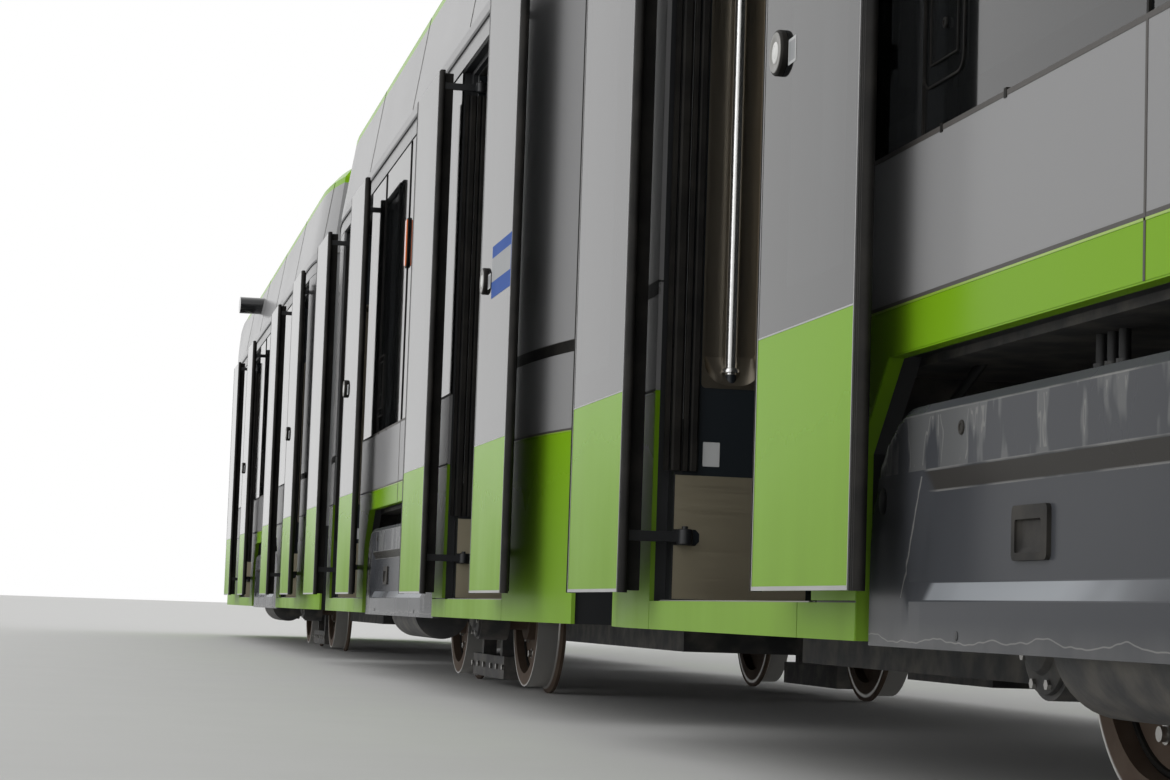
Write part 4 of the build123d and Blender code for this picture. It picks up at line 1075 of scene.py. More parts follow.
class TRAM_OT_shrouds(Step, bpy.types.Operator):
    """Replaces the wheel shrouds with pressed panels that have latches and locks"""
    bl_idname = "tram.shrouds"
    bl_label = "Shrouds"
    body = "bogie"
    pieces = (Piece("shroud_panels", "shroud_slate", bevel=0.004, segments=3, angle=22.0),
              Piece("shroud_latches", "latch_black", bevel=0.0008), Piece("shroud_holes", "frame_black"))

    def dress(self, name, end, panel, latch, holes):
        trim = bpy.context.scene.tram_trim
        width, height = trim.latch_width / 2, trim.latch_height / 2
        columns, rows = shroud_grid()
        centre = BOGIE_X[name]
        for side in BOTH:
            def point(u, z, back):
                z = min(z, shroud_top(u))
                return centre + u, side * (HALF_WIDTH + shroud_face(u, z, trim.recess_depth) - back), z

            panel.walls([border(panel.sheet([[point(u, z, back) for z in rows] for u in columns]))
                         for back in (0.0, SHROUD_THICKNESS)])
            place = on_side(side, HALF_WIDTH - trim.recess_depth)
            for way in BOTH:
                x, z = centre + way * LATCH_X, LATCH_HEIGHT
                edge, lip, floor = (
                    rounded((x - width + left, z - height + foot), (x + width - right, z + height - head), radius)
                    for left, foot, right, head, radius in LATCH_STEPS)
                rings = latch.loops(place, (edge, -0.001), (edge, 0.0075), (lip, 0.0085), (lip, 0.0045),
                                    (floor, 0.0008))
                latch.walls(rings)
                latch.mesh.faces.new(rings[0])
                latch.mesh.faces.new(rings[-1])
                out = (0, side, 0)
                latch.lathe([(0.0125, -0.002), (0.0125, 0.0015), (0.011, 0.003), (0.0065, 0.003), (0.006, 0.0015),
                             (AXIS, 0.0015)], (centre + way * LOCK_X, side * HALF_WIDTH, LOCK_HEIGHT), out, 28)
                # Black discs stand in for the holes: their black is the painted shade inside the holes.
                for u, z, radius in SHROUD_HOLES:
                    holes.lathe([(radius, -0.004), (radius, 0.0008), (radius * 0.86, 0.0012), (AXIS, 0.0006)],
                                (centre + way * u, side * (HALF_WIDTH + shroud_bend(u)), z), out, 28)
        bmesh.ops.remove_doubles(panel.mesh, verts=panel.mesh.verts, dist=0.00005)
        bmesh.ops.dissolve_degenerate(panel.mesh, edges=panel.mesh.edges, dist=0.00005)

    def declare(self, name, end, panel, latch, holes):
        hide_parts(f"shrouds_{name}")


class TRAM_OT_bellows(Step, bpy.types.Operator):
    """Replaces the bellows with folded cloth between the sections"""
    bl_idname = "tram.bellows"
    bl_label = "Bellows"
    places = ENDS
    body = ""
    pieces = (Piece("bellows_cloth", "bellows_cloth", angle=60.0),)

    def dress(self, name, end, cloth):
        folds = bpy.context.scene.tram_trim.folds
        low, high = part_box(f"bellows_{name}")
        half_y = (high.y - low.y) / 2
        centre_z, half_z = (low.z + high.z) / 2, (high.z - low.z) / 2

        def ring(x, inset, corner=0.19):
            outline = rounded((-half_y + inset, centre_z - half_z + inset),
                              (half_y - inset, centre_z + half_z - inset), corner, 6)
            return [cloth.mesh.verts.new((x, u, v)) for u, v in outline]

        outer, lining = [], []
        for i in range(folds * 8 + 1):
            x = low.x + (high.x - low.x) * i / (folds * 8)
            wave = abs(math.sin(math.pi * i / 8))
            outer.append(ring(x, 0.001 + 0.062 * (1 - wave ** 0.7)))
            lining.append(ring(x, 0.285 + 0.02 * wave, 0.10))
        cloth.walls(outer)
        cloth.walls(lining)
        cloth.walls([outer[0], lining[0]])
        cloth.walls([outer[-1], lining[-1]])

    def declare(self, name, end, cloth):
        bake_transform(cloth)
        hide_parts(f"bellows_{name}")


class TRAM_OT_side_trim(Step, bpy.types.Operator):
    """Adds the sealed seams, side markers, hatches and drip rails along the body"""
    bl_idname = "tram.side_trim"
    bl_label = "Side trim"
    pieces = (Piece("arch_lips", "side_paint"), Piece("sand_pipes", "cable"), Piece("pipe_unions", "spring_steel"),
              Piece("sealed_seams", "sealant"), Piece("band_edges", "band_edge"), Piece("glass_joints", "rubber"),
              Piece("side_hatches", "rubber"), Piece("side_markers", "orange_lens", bevel=0.003),
              Piece("marker_bases", "rubber", bevel=0.001), Piece("drip_rails", "frame_black", bevel=0.002))

    def dress(self, name, end, lips, pipes, unions, sealant, edge, gasket, hatch, lens, base, rail):
        low, high = (corner.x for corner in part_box(f"skins_{name}"))
        bogie = BOGIE_X[name]
        outer, inner = DOOR_OFFSET + LEAF_RECESS, DOOR_OFFSET - LEAF_RECESS
        for side in BOTH:
            place = on_side(side)
            for span in ((low, bogie - outer), (bogie - inner, bogie + inner), (bogie + outer, high)):
                sealant.strip(name, side, span, (BELT - 0.003, BELT + 0.006), (-0.005, 0.0008))
                sealant.strip(name, side, span, (BAND_TOP - 0.003, BAND_TOP + 0.004), (-0.003, 0.0006))
                # Painted highlight: a light green line under the band's top seam.
                edge.strip(name, side, span, (BAND_TOP - 0.007, BAND_TOP - 0.003), (-0.003, 0.0010))
            sealant.strip(name, side, (bogie - 0.0035, bogie + 0.0035), (ARCH_TOP, BELT), (-0.005, 0.0010))
            for _, way in JOINTS[name]:
                bay = (low, bogie - outer) if way < 0 else (bogie + outer, high)
                gasket.strip(name, side, bay, (BELT - 0.032, BELT + 0.004), (-0.005, 0.0012))
            for x in (bogie - 0.837, bogie - 0.537):
                gasket.strip(name, side, (x - 0.006, x + 0.006), (BELT - 0.006, BELT + 0.010), (-0.005, 0.0016))
            for i in range(len(ARCH) - 1):
                (u, v), (u_next, v_next) = ARCH[i:i + 2]
                (a, b), (a_next, b_next) = ARCH_INSIDE[i:i + 2]
                lips.prism([(bogie + u, v), (bogie + u_next, v_next), (bogie + a_next, b_next), (bogie + a, b)],
                           place, -0.028, -0.001)
            for x in (bogie - GLASS_SPLIT, bogie, bogie + GLASS_SPLIT):
                gasket.strip(name, side, (x - 0.0035, x + 0.0035), (BELT + 0.006, WINDOW_TOP), (-0.005, 0.0003))
            for door in door_centres(name):
                sealant.strip(name, side, (door - 0.003, door + 0.003), (WINDOW_TOP, CANTRAIL), (-0.005, 0.0006))
            rail.strip(name, side, (low, high), (CANTRAIL - 0.006, CANTRAIL + 0.010), (-0.002, 0.007))
            (left, foot), (right, head) = HATCH
            frame_area = (bogie + left, foot), (bogie + right, head)
            lid_area = (bogie + left + HATCH_RIM, foot + 0.038), (bogie + right - HATCH_RIM, head - 0.030)
            hatch.ring(*matched(rounded(*frame_area, 0.030), rounded(*inset(*frame_area, 0.004), 0.026)),
                       place, -0.002, 0.0008)
            hatch.ring(*matched(rounded(*lid_area, 0.004), rounded(*inset(*lid_area, 0.003), 0.003)),
                       place, -0.002, 0.0006)
            hatch.lathe([(0.0095, -0.001), (0.0095, 0.002), (0.0080, 0.003), (0.0050, 0.003), (0.0045, 0.001),
                         (AXIS, 0.001)], place(bogie - 0.830, 1.362, 0), (0, side, 0), 24)
            for shape, half, height, radius, start, stop in ((lens, 0.024, 0.108, 0.010, 0.002, 0.011),
                                                             (base, 0.031, 0.115, 0.014, -0.002, 0.005)):
                shape.prism(rounded((bogie - half, MARKER - height), (bogie + half, MARKER + height), radius),
                            place, start, stop)
            for k in range(3):
                x, y = bogie - side * PIPE_X - side * PIPE_APART * (k - 1), side * PIPE_Y
                pipes.tube([(x, y, ARCH_TOP + 0.05), (x, y, 0.76), (x + 0.004, y - side * 0.01, 0.66),
                            (x + 0.004, y - side * 0.03, 0.60)], 0.0095, 16)
                unions.lathe([(0.0, -0.012), (0.0070, -0.012), (0.0125, 0.0), (0.0125, 0.030), (0.0093, 0.036)],
                             (x + 0.004, y - side * 0.03, 0.594), UP, 20)
                unions.lathe([(0.0093, 0.0), (0.0135, 0.0), (0.0135, 0.022), (0.0093, 0.022)], (x, y, 0.732), UP, 20)
            x = bogie + side * 0.93
            pipes.tube([(x - side * 0.06, side * PIPE_Y, ARCH_TOP + 0.05), (x + side * 0.38, side * PIPE_Y, 0.690)],
                       0.009, 12)


class TRAM_OT_grab_rails(Step, bpy.types.Operator):
    """Lines the grab rail recesses of the door pillars and dresses the rails"""
    bl_idname = "tram.grab_rails"
    bl_label = "Grab rails"
    pieces = (Piece("recess_linings", "stainless"), Piece("recess_rails", "pole_steel"),
              Piece("rail_collars", "pole_steel", bevel=0.0008))

    def dress(self, name, end, lining, rails, collars):
        across = (RECESS_FROM_MIDDLE - RECESS_WIDTH / 2, RECESS_FROM_MIDDLE + RECESS_WIDTH / 2)
        mouth = rounded((across[0], RECESS_LOW), (across[1], RECESS_HIGH), 0.060, 8)
        lip = rounded((across[0] - 0.006, RECESS_LOW - 0.009), (across[1] + 0.006, RECESS_HIGH + 0.006), 0.012, 8)
        foot = rounded((across[0] + 0.006, RECESS_SLOPE), (across[1] - 0.006, RECESS_HIGH - 0.030), 0.014, 8)
        foot_z = RECESS_LOW + (RECESS_SLOPE - RECESS_LOW) * RAIL_DEPTH / RECESS_DEPTH
        for jamb, way, side in jambs(name):
            loops = lining.loops(lambda u, v, w: (jamb + way * w, side * u, v), (lip, 0.0), (lip, -0.0012),
                                 (mouth, -0.0012), (mouth, 0.003), (foot, RECESS_DEPTH - 0.0008))
            lining.walls(loops)
            lining.mesh.faces.new(loops[-1])
            x, y = jamb + way * RAIL_DEPTH, side * RECESS_FROM_MIDDLE
            rails.bar((x, y, foot_z - 0.004), (x, y, RECESS_HIGH - 0.002), 0.0154, 28)
            for z, up in ((foot_z + 0.0008, 1), (RECESS_HIGH - 0.016, -1)):
                collars.lathe([(0.0156, 0.0), (0.0235, 0.0), (0.0235, 0.006), (0.0200, 0.012), (0.0156, 0.013)],
                              (x, y, z), (0, 0, up), 28)


class TRAM_OT_noses(Step, bpy.types.Operator):
    """Adds the windscreen's dark surround, wipers, lamp rings and panel joints to the noses"""
    bl_idname = "tram.noses"
    bl_label = "Noses"
    places = ENDS
    pieces = (Piece("dark_surrounds", "black_gloss", angle=50), Piece("lamp_rings", "rubber"),
              Piece("indicators", "orange_lens"), Piece("tail_lamps", "red_lens"), Piece("nose_joints", "rubber"),
              Piece("wiper_arms", "frame_black"), Piece("wiper_blades", "rubber"),
              Piece("display_boards", "black_gloss", bevel=0.004))

    def dress(self, name, end, gloss, rings, indicators, tails, joints, arms, blades, panels):
        shell = surface(f"nose_{name}", f"cab_glass_{name}", f"lamps_{name}")
        low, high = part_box(f"nose_{name}")
        tip, root = (high.x, low.x) if end > 0 else (low.x, high.x)
        face = laid_on(shell, lambda u, v: (tip + end, u, v), (-end, 0, 0))

        gloss.ring(*matched(rounded((-0.985, 1.132), (0.985, 2.563), 0.150, 6),
                            rounded((-0.893, 1.223), (0.893, 2.433), 0.090, 6)), face, -0.003, 0.003, 4)
        for side in BOTH:
            wing = laid_on(shell, lambda u, v, side=side: (u, side * 2, v), (0, -side, 0))
            start, stop = root + end * 0.213, root + end * 1.037
            gloss.ring(*matched(rounded((start, BELT - 0.045), (stop, WINDOW_TOP + 0.043), 0.080, 6),
                                rounded((start + end * 0.072, BELT + 0.037), (stop - end * 0.072, WINDOW_TOP - 0.037),
                                        0.050, 6)), wing, -0.003, 0.0025, 3)
            gloss.ring(*matched(rounded((side * 0.598, 0.738), (side * 0.922, 0.912), 0.040),
                                rounded((side * 0.636, 0.776), (side * 0.884, 0.874), 0.030)), face, -0.003, 0.004, 3)
            for y in (0.697, 0.823):
                rings.ring(*matched(circle(side * y, 0.825, 0.050), circle(side * y, 0.825, 0.043)),
                           face, -0.001, 0.0022)
            indicators.patch((side * 0.640, 0.935), (side * 0.885, 0.958), face, -0.002, 0.003)
            tails.patch((side * 0.640, 0.690), (side * 0.885, 0.713), face, -0.002, 0.003)
        joints.ring(*matched(rounded((-0.37, 0.385), (0.37, 0.655), 0.050),
                             rounded((-0.365, 0.390), (0.365, 0.650), 0.045)), face, -0.003, 0.0006)
        joints.patch((-1.02, 1.0395), (1.02, 1.0435), face, -0.003, 0.0006)
        pivot, elbow = (0.06, 1.165), (0.44, 1.80)
        path = [face(pivot[0] + (elbow[0] - pivot[0]) * k / 8, pivot[1] + (elbow[1] - pivot[1]) * k / 8, 0.017)
                for k in range(9)]
        arms.tube(path, 0.007, 10)
        arms.tube([point + Vector((0, 0.045, 0)) for point in path], 0.006, 8)
        for y in (pivot[0], pivot[0] + 0.045):
            arms.lathe([(0.024, -0.004), (0.024, 0.016), (0.019, 0.022), (AXIS, 0.024)],
                       face(y, pivot[1], 0), (end, 0, 0), 24)
        blades.tube([face(elbow[0] + 0.02, 1.40 + 0.82 * k / 12, 0.012) for k in range(13)], 0.008, 8)
        arms.tube([face(elbow[0] + 0.02, 1.62 + 0.36 * k / 5, 0.020) for k in range(6)], 0.006, 8)
        panels.prism(rounded((-0.56, 2.250), (0.56, 2.440), 0.020), lambda u, v, w: (tip - end * w, u, v), 0.80, 0.86)


class TRAM_OT_cabs(Step, bpy.types.Operator):
    """Adds the driver's pads, screens, switches and lever"""
    bl_idname = "tram.cabs"
    bl_label = "Cabs"
    places = ENDS
    pieces = (Piece("driver_pads", "seat_cloth", angle=80), Piece("desk_screens", "black_gloss", bevel=0.004),
              Piece("desk_controls", "frame_black"))

    def dress(self, name, end, pads, screens, knobs):
        low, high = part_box(f"nose_{name}")
        tip = high.x if end > 0 else low.x

        def back_from_tip(u, v, w):
            """Takes (across, back, up) to the frame."""
            return tip - end * v, u, w

        pads.pad((tip - end * 1.155, 0, DRIVER_SEAT_TOP), (0, 1, 0), (end, 0, 0), 0.44, 0.42, 0.060)
        pads.pad((tip - end * 1.389, 0, DRIVER_SEAT_TOP + 0.335), (0, 1, 0), UP, 0.42, 0.56, 0.060,
                 out=(end, 0, 0))
        for y in (-0.30, 0.0, 0.30):
            screens.prism(rounded((y - 0.12, 1.020), (y + 0.12, 1.185), 0.012),
                          lambda u, v, w: (tip - end * (0.40 + w + (v - 1.02) * -0.35), u, v), 0.0, 0.030)
        for i in range(7):
            y = -0.36 + 0.12 * i
            knobs.lathe([(0.013, 0.0), (0.013, 0.010), (0.011, 0.014), (AXIS, 0.015)],
                        back_from_tip(y, 0.66, desk_top(0.66)), UP, 20)
        knobs.lathe([(0.035, 0.0), (0.034, 0.012), (0.011, 0.020), (0.010, 0.085), (0.021, 0.095), (0.023, 0.115),
                     (0.015, 0.130), (AXIS, 0.133)], back_from_tip(0.40, 0.62, desk_top(0.62)), UP, 24)

    def declare(self, name, end, pads, screens, knobs):
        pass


def double_seat(pads, shells, back, facing, side):
    """The pads of two seats side by side, and the handle over their backs."""
    for place in (0, 1):
        y = side * (SEAT_WALL - SEAT_WIDTH * (0.25 + 0.5 * place))
        pads.pad((back + facing * 0.248, y, SEAT_TOP), (0, 1, 0), (facing, 0, 0), 0.292, 0.345, 0.034)
        pads.pad((back + facing * 0.0605, y, SEAT_TOP + 0.270), (0, 1, 0), UP, 0.286, 0.420, 0.028,
                 out=(facing, 0, 0))
    x, edges = back + facing * 0.03, sorted((side * SEAT_WALL, side * (SEAT_WALL - SEAT_WIDTH)))
    for y in edges:
        shells.tube([(x, y, SEAT_TOP + rise) for rise in (0.30, 0.50, 0.525)], 0.014, 12)
    shells.tube([(x, y, SEAT_TOP + 0.525) for y in edges], 0.016, 14)


def pole(sleeves, x, y):
    """A grab pole with its collars and the sleeve that takes the rail."""
    sleeves.bar((x, y, FLOOR_TOP + 0.003), (x, y, 2.552), 0.0182, 24)
    for z, up in ((FLOOR_TOP + 0.003, 1), (2.553, -1)):
        sleeves.lathe([(0.018, 0.0), (0.042, 0.0), (0.042, 0.004), (0.030, 0.018), (0.018, 0.024)],
                      (x, y, z), (0, 0, up), 28)
    sleeves.lathe([(0.018, -0.030), (0.0255, -0.028), (0.027, -0.010), (0.027, 0.010),
                   (0.0255, 0.028), (0.018, 0.030)], (x, y, RAIL_HEIGHT), UP, 24)


def hand_strap(straps, x, y):
    """A hand strap on a rail: its loop, its band and its grip."""
    straps.ring(rounded((y - 0.0195, RAIL_HEIGHT - 0.0195), (y + 0.0195, RAIL_HEIGHT + 0.0195), 0.0190, 6),
                rounded((y - 0.0170, RAIL_HEIGHT - 0.0170), (y + 0.0170, RAIL_HEIGHT + 0.0170), 0.0165, 6),
                lambda u, v, w: (x + w, u, v), -0.014, 0.014)
    straps.brick((x - 0.013, y - 0.0015, RAIL_HEIGHT - 0.150), (x + 0.013, y + 0.0015, RAIL_HEIGHT - 0.0185))
    straps.ring(rounded((y - 0.055, RAIL_HEIGHT - 0.255), (y + 0.055, RAIL_HEIGHT - 0.140), 0.030, 5),
                rounded((y - 0.040, RAIL_HEIGHT - 0.240), (y + 0.040, RAIL_HEIGHT - 0.155), 0.018, 5),
                lambda u, v, w: (x + w, u, v), -0.009, 0.009)


class TRAM_OT_saloons(Step, bpy.types.Operator):
    """Furnishes the saloons: seat pads, floors, poles, rails, straps and ceiling lights"""
    bl_idname = "tram.saloons"
    bl_label = "Saloons"
    pieces = (Piece("seat_pads", "seat_cloth", angle=80), Piece("floor_coverings", "floor_covering"),
              Piece("step_nosings", "step_edge"), Piece("poles_and_rails", "pole_steel"),
              Piece("hand_straps", "strap_plastic", bevel=0.002), Piece("seat_handles", "pole_steel"),
              Piece("ceiling_lights", "diffuser", bevel=0.004))

    def dress(self, name, end, pads, floor, nosing, sleeves, straps, shells, lights):
        bogie = BOGIE_X[name]
        low, high = (corner.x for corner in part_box(f"skins_{name}"))
        for from_bogie, facing in SEATS:
            back = bogie + from_bogie - facing * SEAT_DEPTH / 2
            for side in BOTH:
                double_seat(pads, shells, back, facing, side)
        reach = WHEELBOX_HALF
        for start, stop in ((low, bogie - reach), (bogie + reach, high)):
            joint_low, joint_high = start == low and end >= 0, stop == high and end <= 0
            floor.brick((start + (1.02 if joint_low else 0.05), -1.180, FLOOR_TOP),
                        (stop - (1.02 if joint_high else 0.05), 1.180, FLOOR_TOP + 0.003))
        floor.brick((bogie - reach, -0.438, AISLE_TOP), (bogie + reach, 0.438, AISLE_TOP + 0.003))
        for way in BOTH:
            x = bogie + way * reach
            nosing.brick((x + way * 0.003, -0.438, AISLE_TOP - 0.030), (x, 0.438, AISLE_TOP + 0.005))
            nosing.brick((x - way * 0.040, -0.438, AISLE_TOP + 0.002), (x, 0.438, AISLE_TOP + 0.005))
        if not end:
            for way in BOTH:
                floor.lathe([(TURNTABLE_RADIUS - 0.004, 0.0), (TURNTABLE_RADIUS - 0.006, 0.003), (AXIS, 0.003)],
                            (way * ARTICULATION, 0, FLOOR_TOP), UP, 72)
        for side in BOTH:
            y = side * POLE_Y
            for door in door_centres(name):
                for way in BOTH:
                    x = door + way * POLE_FROM_DOOR
                    pole(sleeves, x, y)
            start, stop = bogie - DOOR_OFFSET + POLE_FROM_DOOR, bogie + DOOR_OFFSET - POLE_FROM_DOOR
            sleeves.bar((start, y, RAIL_HEIGHT), (stop, y, RAIL_HEIGHT), 0.0165, 20)
            for i in range(7):
                x = start + 0.25 + (stop - start - 0.5) * i / 6
                hand_strap(straps, x, y)
        for side in BOTH:
            stretch = (low + (0.9 if end >= 0 else 0.35), high - (0.9 if end <= 0 else 0.35))
            count = round((stretch[1] - stretch[0]) / 1.25)
            for i in range(count):
                x = stretch[0] + (stretch[1] - stretch[0]) * i / count
                lights.prism(rounded((x + 0.01, side * 0.72 - 0.055), (x + (stretch[1] - stretch[0]) / count - 0.01,
                                                                       side * 0.72 + 0.055), 0.02),
                             upright, 2.535, 2.5545)

    def declare(self, name, end, pads, *rest):
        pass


def louvred_panels(louvres, flank, length, wall):
    """Three framed panels of louvres along a roof box's side."""
    bay = (length - 0.20) / 3
    for i in range(3):
        start = -length / 2 + 0.10 + bay * i
        area = ((start + 0.03, 0.06), (start + bay - 0.03, wall - 0.04))
        louvres.ring(rounded(*area, 0.015), rounded(*inset(*area, 0.018), 0.006), flank, -0.001, 0.012)
        for k in range(int((wall - 0.145) / 0.032)):
            z = 0.082 + 0.032 * k
            louvres.prism([(z, 0.001), (z + 0.004, 0.001), (z - 0.010, 0.0115), (z - 0.014, 0.0115)],
                          lambda v, w, u: flank(u, v, w), area[0][0] + 0.016, area[1][0] - 0.016)


def fan(guards, blades, hub, radius):
    """A roof fan: its collar, its guard's rings and spokes, its hub and its blades."""
    guards.lathe([(radius - 0.030, 0.0), (radius + 0.006, 0.0), (radius + 0.006, 0.016),
                  (radius - 0.004, 0.026), (radius - 0.030, 0.026)], hub, UP, 48)
    for k in range(1, 6):
        ring = radius * k / 6
        guards.tube([(hub[0] + ring * math.cos(a), ring * math.sin(a), hub[2] + 0.020)
                     for a in (2 * math.pi * i / 36 for i in range(37))], 0.0022, 6)
    for k in range(8):
        angle = math.pi * k / 8
        reach = Vector((math.cos(angle), math.sin(angle), 0)) * (radius - 0.012)
        middle = Vector(hub) + Vector((0, 0, 0.0235))
        guards.bar(middle - reach, middle + reach, 0.0022, 6)
    blades.lathe([(0.055, 0.0), (0.055, 0.014), (0.045, 0.018), (AXIS, 0.018)], hub, UP, 24)
    for k in range(7):
        turn = 2 * math.pi * k / 7
        along = Vector((math.cos(turn), math.sin(turn), 0))
        across = Vector((-math.sin(turn), math.cos(turn), 0))
        blades.prism([(0.05, -0.035), (radius - 0.038, -0.060), (radius - 0.038, 0.045), (0.05, 0.030)],
                     lambda u, v, w: Vector(hub) + along * u + across * (v + u * 0.25) + Vector((0, 0, w + v * 0.16)),
                     0.006, 0.009)


class TRAM_OT_roofs(Step, bpy.types.Operator):
    """Adds louvres, fans, ribs, eyes, ducts and cables to the roof"""
    bl_idname = "tram.roofs"
    bl_label = "Roofs"
    pieces = (Piece("roof_louvres", "grille"), Piece("lid_ribs", "roof_box", bevel=0.003),
              Piece("fan_guards", "grille"), Piece("fan_blades", "carbon"),
              Piece("cable_ducts", "mast_steel", bevel=0.003), Piece("fairing_joints", "sealant"),
              Piece("roof_cables", "cable"))

    def dress(self, name, end, louvres, lids, guards, blades, ducts, seams, cables):
        way = end or 1
        bogie = BOGIE_X[name]
        low, high = (corner.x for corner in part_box(f"skins_{name}"))
        boxes = sorted((bogie + way * (start + length / 2), length, width, height)
                       for start, length, width, height in ROOF_BOXES[bool(end)])
        for centre, length, width, height in boxes:
            wall, top = height * BOX_WALL_SHARE, DECK + height
            for side in BOTH:
                def flank(u, v, w):
                    return centre + u, side * (width / 2 + w), DECK + v

                louvred_panels(louvres, flank, length, wall)
            slope = height * 0.2 * math.tan(BOX_SLOPE)
            for u in (-length / 2 + slope + 0.05, 0.0, length / 2 - slope - 0.05):
                lids.brick((centre + u - 0.015, -width / 2 + slope + 0.03, top - 0.002),
                           (centre + u + 0.015, width / 2 - slope - 0.03, top + 0.010))
            for way in BOTH:
                fan(guards, blades, (centre + way * length / 4, 0, top + FAN_RISE), width * FAN_SHARE / 2)
            for u in BOTH:
                for v in BOTH:
                    x, y = centre + u * (length / 2 - slope - 0.06), v * (width / 2 - slope - 0.05)
                    guards.tube([(x + 0.022 * math.cos(a), y, top + 0.020 + 0.022 * math.sin(a))
                                 for a in (2 * math.pi * i / 16 for i in range(17))], 0.006, 8)
        inner = (low + (0.95 if end >= 0 else 0.10), high - (0.95 if end <= 0 else 0.10))
        for side in BOTH:
            ducts.prism([(side * 0.965, DECK), (side * 0.965, DECK + 0.075), (side * 0.980, DECK + 0.085),
                         (side * 1.075, DECK + 0.085), (side * 1.090, DECK + 0.075), (side * 1.090, DECK)],
                        lambda u, v, w: (w, u, v), *inner)
            for i in range(1, int((inner[1] - inner[0]) / CLAMP_PITCH) + 1):
                x = inner[0] + CLAMP_PITCH * i - 0.6
                ducts.brick((x - 0.012, side * 0.955, DECK), (x + 0.012, side * 1.100, DECK + 0.091))
            for i in range(-2, 3):
                x = bogie + 1.72 * i
                face = side_face(name, x)
                drop = (ROOF_EDGE - 0.075 - DECK) * math.tan(FAIRING_LEAN)
                seams.prism([(face + 0.0008, DECK + 0.004), (face + 0.0008 - drop, ROOF_EDGE - 0.071),
                             (face - 0.006 - drop, ROOF_EDGE - 0.071), (face - 0.006, DECK + 0.004)],
                            lambda u, v, w: (w, side * u, v), x - 0.003, x + 0.003)
        for (first, length, width, height), (second, other, *_) in zip(boxes, boxes[1:]):
            start, stop = first + length / 2, second - other / 2
            if stop - start < CABLE_REACH:
                for k in range(4):
                    y = -0.32 + 0.09 * k
                    cables.tube([(start - 0.004, y, DECK + 0.16), (start + 0.07, y, DECK + 0.15),
                                 (start + (stop - start) * 0.3, y + 0.01, DECK + 0.035),
                                 (start + (stop - start) * 0.7, y + 0.01, DECK + 0.035),
                                 (stop - 0.07, y, DECK + 0.15), (stop + 0.004, y, DECK + 0.16)], 0.016, 10)


def axle_end(axle, side, rings, studs, covers, bolts, pads):
    """A wheel's rubber ring and bolts, its axlebox cover and the rubber springs before and behind it."""
    out = (0, side, 0)
    web = Vector((axle.x, side * WHEEL_WEB_OUTER, axle.z))
    rings.lathe([(0.228, -0.001), (0.230, 0.006), (0.236, 0.009), (0.242, 0.006), (0.2445, -0.001)],
                web, out, 64)
    for k in range(10):
        angle = 2 * math.pi * k / 10
        spot = web + Vector((0.172 * math.cos(angle), 0, 0.172 * math.sin(angle)))
        studs.lathe([(0.0195, 0.0), (0.0195, 0.004), (0.014, 0.004), (0.014, 0.016), (AXIS, 0.016)],
                    spot, out, 12)
    box = Vector((axle.x, side * AXLEBOX_OUTER, axle.z))
    covers.lathe([(0.100, -0.001), (0.100, 0.010), (0.088, 0.014), (0.066, 0.014), (0.060, 0.026),
                  (0.050, 0.031), (AXIS, 0.032)], box, out, 48)
    for k in range(8):
        angle = math.radians(22.5 + 45 * k)
        spot = box + Vector((0.088 * math.cos(angle), side * 0.012, 0.088 * math.sin(angle)))
        bolts.lathe([(0.0095, 0.0), (0.0095, 0.008), (AXIS, 0.008)], spot, out, 6)
    for way in BOTH:
        for k in range(4):
            x = axle.x + way * (0.118 + 0.022 * k)
            pads.brick((x - 0.007, side * (BEARING_Y - 0.050), AXLE_TOP - 0.130 - 0.010 * k),
                       (x + 0.007, side * (BEARING_Y + 0.050), AXLE_TOP - 0.020 + 0.006 * k))


class TRAM_OT_running_gear(Step, bpy.types.Operator):
    """Adds springs, axlebox covers, bolts and rubber rings to the bogies"""
    bl_idname = "tram.running_gear"
    bl_label = "Running gear"
    body = "bogie"
    pieces = (Piece("coil_springs", "spring_steel"), Piece("axlebox_covers", "cast_steel", bevel=0.001),
              Piece("bogie_bolts", "bolt_steel"), Piece("axle_springs", "rubber", bevel=0.002))

    def dress(self, name, end, coils, covers, bolts, pads):
        bogie = BOGIE_X[name]
        for axle_name in ("a", "b"):
            low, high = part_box(f"wheelset_{name}_{axle_name}")
            axle = Vector(((low.x + high.x) / 2, 0, (low.z + high.z) / 2))
            rings, studs = Shape(), Shape()
            for side in BOTH:
                axle_end(axle, side, rings, studs, covers, bolts, pads)
            rings.build(f"wheel_rubbers_{name}_{axle_name}", "rubber", f"wheelset_{name}_{axle_name}")
            studs.build(f"wheel_bolts_{name}_{axle_name}", "bolt_steel", f"wheelset_{name}_{axle_name}")
        for side in BOTH:
            for way in BOTH:
                x, y = bogie + way * SPRING_X, side * BEARING_Y
                turns, steps = 5, 20
                coils.tube([(x + 0.093 * math.cos(a), y + 0.093 * math.sin(a), 0.475 + 0.27 * i / (turns * steps))
                            for i, a in ((i, 2 * math.pi * i / steps) for i in range(turns * steps + 1))], 0.0105, 8)
                covers.lathe([(0.080, 0.0), (0.108, 0.0), (0.108, 0.010), (0.080, 0.016)], (x, y, 0.455), UP, 32)
            for way in BOTH:
                for k in range(3):
                    x = bogie + way * (0.10 + 0.16 * k)
                    bolts.lathe([(0.014, 0.0), (0.014, 0.010), (AXIS, 0.010)],
                                (x, side * TRACK_BRAKE_OUTER, 0.090), (0, side, 0), 6)


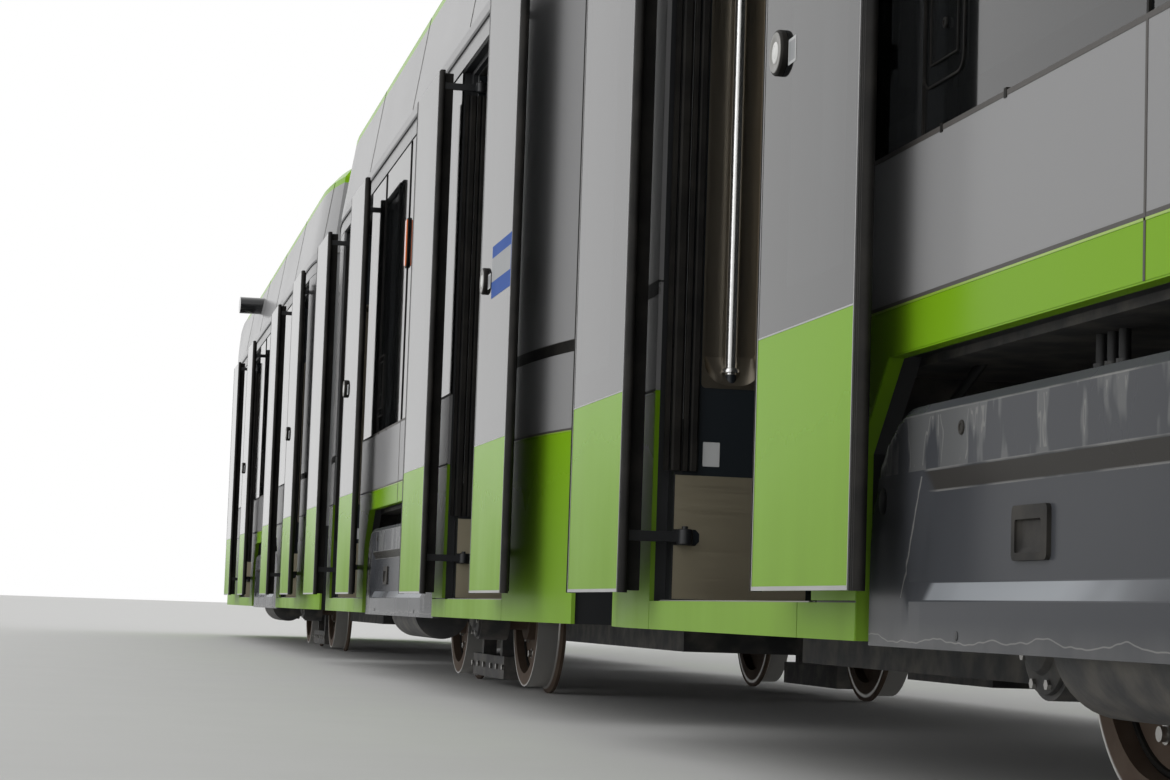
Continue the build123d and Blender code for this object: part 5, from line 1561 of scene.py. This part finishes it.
class TRAM_OT_pantograph(bpy.types.Operator):
    """Adds insulator sheds, a raising cylinder, carbon strips and knuckles to the pantograph"""
    bl_idname = "tram.pantograph"
    bl_label = "Pantograph"

    def execute(self, context):
        sheds, gear = Shape(), Shape()
        for x in (-INSULATOR_X, INSULATOR_X):
            for y in (-INSULATOR_Y, INSULATOR_Y):
                profile = [(0.062, 0.0), (0.062, 0.030)]
                for k in range(7):
                    z = 0.045 + 0.052 * k
                    profile += [(0.058, z), (0.084, z + 0.016), (0.086, z + 0.020), (0.060, z + 0.026)]
                profile += [(0.060, 0.412), (0.070, 0.414), (0.070, 0.438), (0.056, 0.439)]
                sheds.lathe(profile, (x, y, DECK), UP, 32)
        for start, stop, radius, sides in ((-0.42, 0.32, 0.045, 28), (-0.60, -0.41, 0.016, 16),
                                           (0.31, 0.36, 0.052, 28), (-0.44, -0.40, 0.052, 28)):
            gear.bar((start, 0.22, BASE_HEIGHT + 0.02), (stop, 0.22, BASE_HEIGHT + 0.02), radius, sides)
        for x in (-0.62, 0.34):
            gear.brick((x - 0.03, 0.18, BASE_HEIGHT - 0.030), (x + 0.03, 0.26, BASE_HEIGHT + 0.012))
        gear.brick((-0.66, 0.190, BASE_HEIGHT - 0.028), (0.70, 0.250, BASE_HEIGHT - 0.018))
        sheds.build("insulator_sheds", "insulator", "section_middle")
        gear.build("raising_cylinder", "bolt_steel", "section_middle", bevel=0.004)

        arm = Shape()
        for (x, z), half in ((PANTOGRAPH_PIVOT, 0.080), (PANTOGRAPH_KNEE, 0.060)):
            for side in BOTH:
                arm.lathe([(0.064, -0.012), (0.074, -0.010), (0.074, -0.002), (0.066, 0.0004), (0.022, 0.0004)],
                          (x, side * half, z), (0, side, 0), 32)
        start, knee = (Vector((x, 0, z)) for x, z in (PANTOGRAPH_PIVOT, PANTOGRAPH_KNEE))
        run = knee - start
        for share in (0.14, 0.86):
            arm.lathe([(0.0555, -0.03), (0.060, -0.026), (0.060, 0.026), (0.0555, 0.03)],
                      start + run * share, run, 32)
        arm.build("arm_knuckles", "mast_steel", "pantograph_lower_arm", bevel=0.001)

        strips, clips = Shape(), Shape()
        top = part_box("pantograph_head")[1].z
        for way in BOTH:
            x = PANTOGRAPH_HEAD_X + way * STRIP_APART / 2
            strips.prism([(-0.59, 0.0), (-0.575, 0.0), (0.575, 0.0), (0.59, 0.0), (0.575, -0.012), (-0.575, -0.012)],
                         lambda u, v, w: (w, u, top + v - 0.0004), x - 0.0238, x + 0.0238)
            for k in range(5):
                y = -0.48 + 0.24 * k
                clips.brick((x - 0.0255, y - 0.012, top - 0.038), (x + 0.0255, y + 0.012, top - 0.014))
        strips.build("carbon_strips", "carbon", "pantograph_head", bevel=0.001)
        clips.build("strip_clips", "bolt_steel", "pantograph_head", bevel=0.001)
        return {"FINISHED"}


class TRAM_PT_panel(bpy.types.Panel):
    """Lists the steps that dress the tram"""
    bl_idname = "TRAM_PT_panel"
    bl_label = "Tram"
    bl_space_type = "VIEW_3D"
    bl_region_type = "UI"
    bl_category = "Tram"

    def draw(self, context):
        for step in STEPS:
            self.layout.operator(step.bl_idname)


GROUPS = {"tram_paint": TramPaint, "tram_trim": TramTrim, "tram_stage": TramStage}
STEPS = (
    TRAM_OT_stage, TRAM_OT_finishes, TRAM_OT_door_leaves, TRAM_OT_door_edges, TRAM_OT_door_buttons, TRAM_OT_doorways,
    TRAM_OT_shrouds, TRAM_OT_bellows, TRAM_OT_side_trim, TRAM_OT_grab_rails, TRAM_OT_noses, TRAM_OT_cabs,
    TRAM_OT_saloons, TRAM_OT_roofs, TRAM_OT_running_gear, TRAM_OT_pantograph,
)


def register():
    for kind in (*GROUPS.values(), *STEPS, TRAM_PT_panel):
        bpy.utils.register_class(kind)
    for name, group in GROUPS.items():
        setattr(bpy.types.Scene, name, bpy.props.PointerProperty(type=group))


def unregister():
    for name in GROUPS:
        delattr(bpy.types.Scene, name)
    for kind in (TRAM_PT_panel, *STEPS[::-1], *GROUPS.values()):
        bpy.utils.unregister_class(kind)


def main():
    register()
    for step in STEPS:
        group, name = step.bl_idname.split(".")
        getattr(getattr(bpy.ops, group), name)()


if __name__ == "__main__":
    main()
